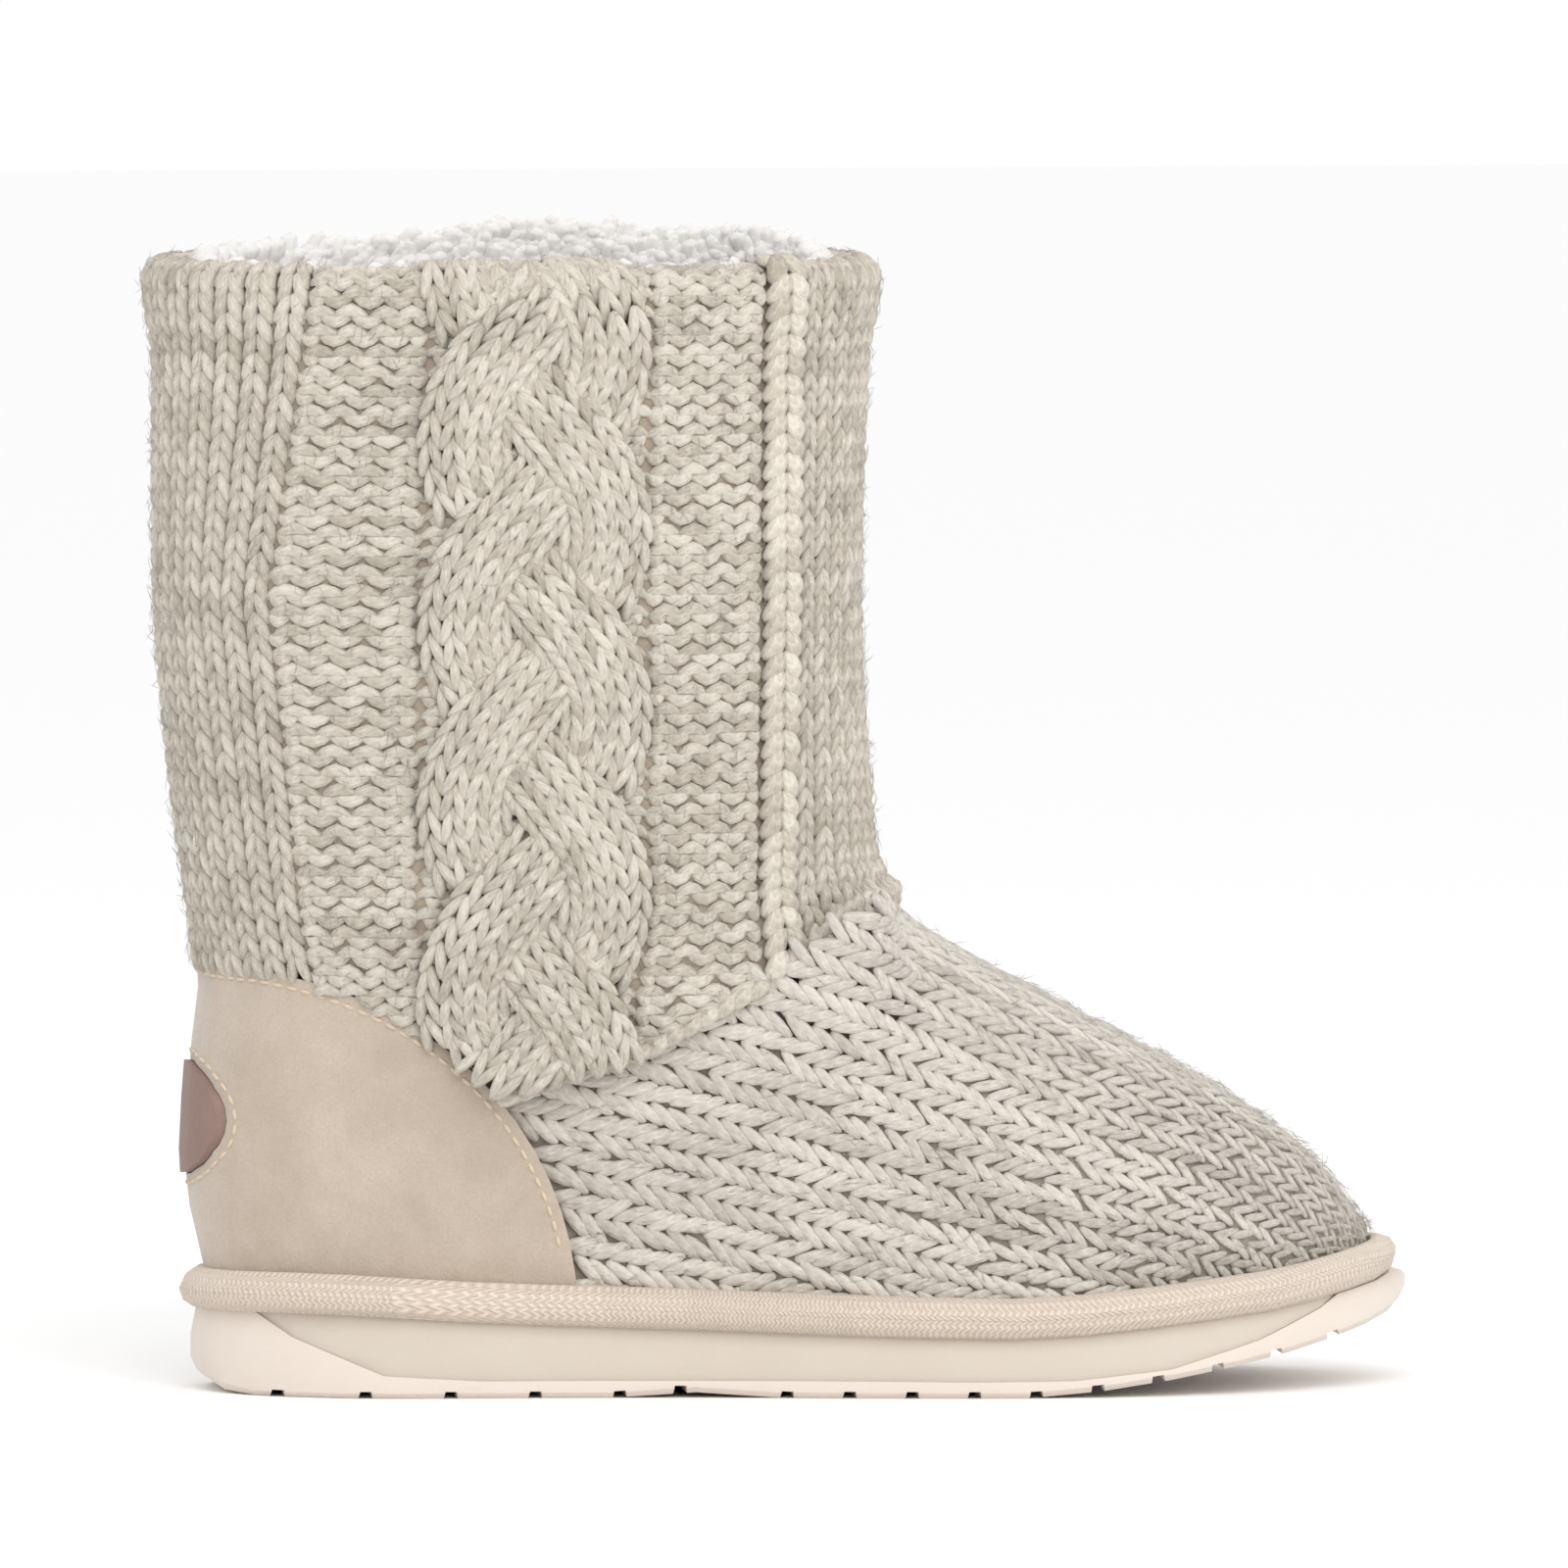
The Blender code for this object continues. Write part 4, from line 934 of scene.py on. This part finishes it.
sewn = []
for side in (-1, 1):
    line, outs = [], []
    for turn in np.linspace(0.02, math.pi / 2, 160):
        reach = counterEdge["reach"] - sewing["inside"]
        x = soleBack + reach * math.cos(turn)
        z = counterEdge["baseZ"] + (counterEdge["rise"] - sewing["inside"]) * math.sin(turn)
        if z < sewing["lowest"] or x < soleBack + sewing["firstX"]:
            continue
        hit, normal = counterTree.ray_cast(Vector((x, side * 0.2, z)), Vector((0, -side, 0)))[:2]
        if hit is not None:
            line.append(hit)
            outs.append(normal)
    start = line[-1]
    first = math.atan2(abs(start.y), soleBack + sleeve["axisX"] - start.x)
    for turn in np.linspace(first, 0.0, 60)[1:]:
        out = Vector((-math.cos(turn), side * math.sin(turn), 0))
        height = start.z + (counterTop - start.z) * (1 - turn / first)
        centre = Vector((soleBack + sleeve["axisX"], 0, height))
        hit, normal = counterTree.ray_cast(centre + out * 0.3, -out)[:2]
        if hit is not None:
            line.append(hit)
            outs.append(normal)
    sewn.append(sewnLine(line, outs))
line, outs = [], []
for turn in np.linspace(0, 2 * math.pi, 160):
    y = sewing["ovalWide"] / 2 * math.cos(turn)
    z = sewing["ovalZ"] + sewing["ovalHigh"] / 2 * math.sin(turn)
    hit, normal = counterTree.ray_cast(Vector((soleBack - 0.1, y, z)), Vector((1, 0, 0)))[:2]
    if hit is not None:
        line.append(hit)
        outs.append(normal)
sewn.append(sewnLine(line, outs))
threadLeg = legTemplate(6, 5, 0.7, 0.15, 0.0)
sewnPlaces, sewnTones = zip(*sewn)
stamp("counterSewing", threadLeg, sewnPlaces, sewnTones, sewingThread, "suede")

# Loose fibres that stand off the yarn all over the knit
fuzz = {"sleeve": 5600, "vamp": 2200, "length": 0.0048, "thick": 0.00014, "stand": 0.0009, "tone": 1.0}
fibre = legTemplate(3, 3, 1.0, 2.0, 6.0)


def fuzzFibres(point, along, out):
    count = len(point)
    aim = unit(along + out * rng.uniform(0.0, 0.3, (count, 1)) + rng.normal(0, 0.45, (count, 3)))
    length = fuzz["length"] * rng.uniform(0.5, 1.3, count)
    return legFrames(point + out * fuzz["stand"], aim, out, (length, fuzz["thick"], fuzz["thick"]))


def sleeveFuzz(side):
    count = fuzz["sleeve"] // 2
    v = rng.uniform(stitches["bottom"], stitches["top"] - 0.002, count)
    w = rng.uniform(0, sleeve["panels"], count)
    point, up, ahead, out, _ = readGrid(sleeveGrids[side], v, w)
    x = point[:, 0] - soleBack
    raised = np.max([ropeLift(n, x, v) for n in range(plait["ropes"])], axis=0)
    raised = np.maximum(raised * ((w > 2) & (w < 3)), 0)  # the plait's panel
    frames = fuzzFibres(point + out * raised[:, None], up, out)
    return keepPlaces(frames, np.full(count, fuzz["tone"]), onSleeve(point, 0.002))


def vampFuzz(side):
    grid = vampGrid(side)
    count = fuzz["vamp"] // 2
    i, j = rng.integers(0, grid.shape[0], count), rng.integers(0, grid.shape[1], count)
    lengthwise = unit(np.gradient(grid, axis=0))[i, j]
    point = grid[i, j] + lengthwise * rng.uniform(-0.001, 0.001, (count, 1))
    out = unit(np.cross(lengthwise, np.gradient(grid, axis=1)[i, j]))
    out *= np.sign(out @ np.array([0.0, side, 0.5]))[:, None]
    x = point[:, 0] - soleBack
    keep = (point[:, 2] < seamHeight(x) - 0.001) & (counterShare(x, point[:, 2]) > 1.03)
    keep &= point[:, 2] > np.interp(point[:, 0], weltBins, weltTops) + 0.001
    return keepPlaces(fuzzFibres(point, lengthwise, out), np.full(count, fuzz["tone"]), keep)


for name, grow, material, slotName in (
    ("sleeveFuzz", sleeveFuzz, shaftYarn, "shaft_knit"), ("vampFuzz", vampFuzz, vampYarn, "vamp_knit"),
):
    places, tones = zip(*[grow(side) for side in (-1, 1)])
    stamp(name, fibre, places, tones, material, slotName)

# White studio: a bright sweep all round, a large soft lamp high above the boot's outer side and a weak one
# from beyond its toe
studio = {
    "sky": 1.0, "key": 8.6, "keySize": 0.9, "fill": 1.6, "fillSize": 0.7,
    "floor": "FBFBFB", "floorSize": 12.0,
}
world = bpy.data.worlds.new("white studio")
scene.world = world
world.use_nodes = True
world.node_tree.nodes["Background"].inputs["Color"].default_value = (1.0, 1.0, 1.0, 1.0)
world.node_tree.nodes["Background"].inputs["Strength"].default_value = studio["sky"]


def addLamp(name, place, power, size):
    lamp = bpy.data.lights.new(name, "AREA")
    lamp.energy = power
    lamp.size = size
    obj = bpy.data.objects.new(name, lamp)
    obj.location = place
    towards = Vector((0.0, 0.0, 0.1)) - Vector(place)
    obj.rotation_euler = towards.to_track_quat("-Z", "Y").to_euler()
    scene.collection.objects.link(obj)


addLamp("softKey", (0.0, -1.15, 1.05), studio["key"], studio["keySize"])
addLamp("softFill", (0.9, -0.8, 0.5), studio["fill"], studio["fillSize"])
bpy.ops.mesh.primitive_plane_add(size=studio["floorSize"], location=(0, 0, 0))
floor = bpy.context.object
floor.name = "studioFloor"
floorMaterial, _, floorShader = newMaterial("white paper sweep", 0.9, Specular_IOR_Level=0.1)
floorShader.inputs["Base Color"].default_value = colour(studio["floor"])
floor.data.materials.append(floorMaterial)
floor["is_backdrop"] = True

camera = bpy.data.objects.new("camera", bpy.data.cameras.new("camera"))
scene.collection.objects.link(camera)
scene.camera = camera
turn, rise = math.radians(view["azimuth"]), math.radians(view["elevation"])
back = Vector((math.sin(turn) * math.cos(rise), -math.cos(turn) * math.cos(rise), math.sin(rise)))
camera.data.sensor_width = view["sensor"]
camera.data.lens = view["lens"]
aim = Vector((soleBack + view["aimX"], 0, view["aimZ"]))
camera.location = aim + back * view["width"] * view["lens"] / view["sensor"]
camera.rotation_euler = (-back).to_track_quat("-Z", "Y").to_euler()
camera.data.clip_start, camera.data.clip_end = 0.05, 20.0
scene.view_settings.view_transform = "Standard"

low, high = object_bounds()
print("scene finished")
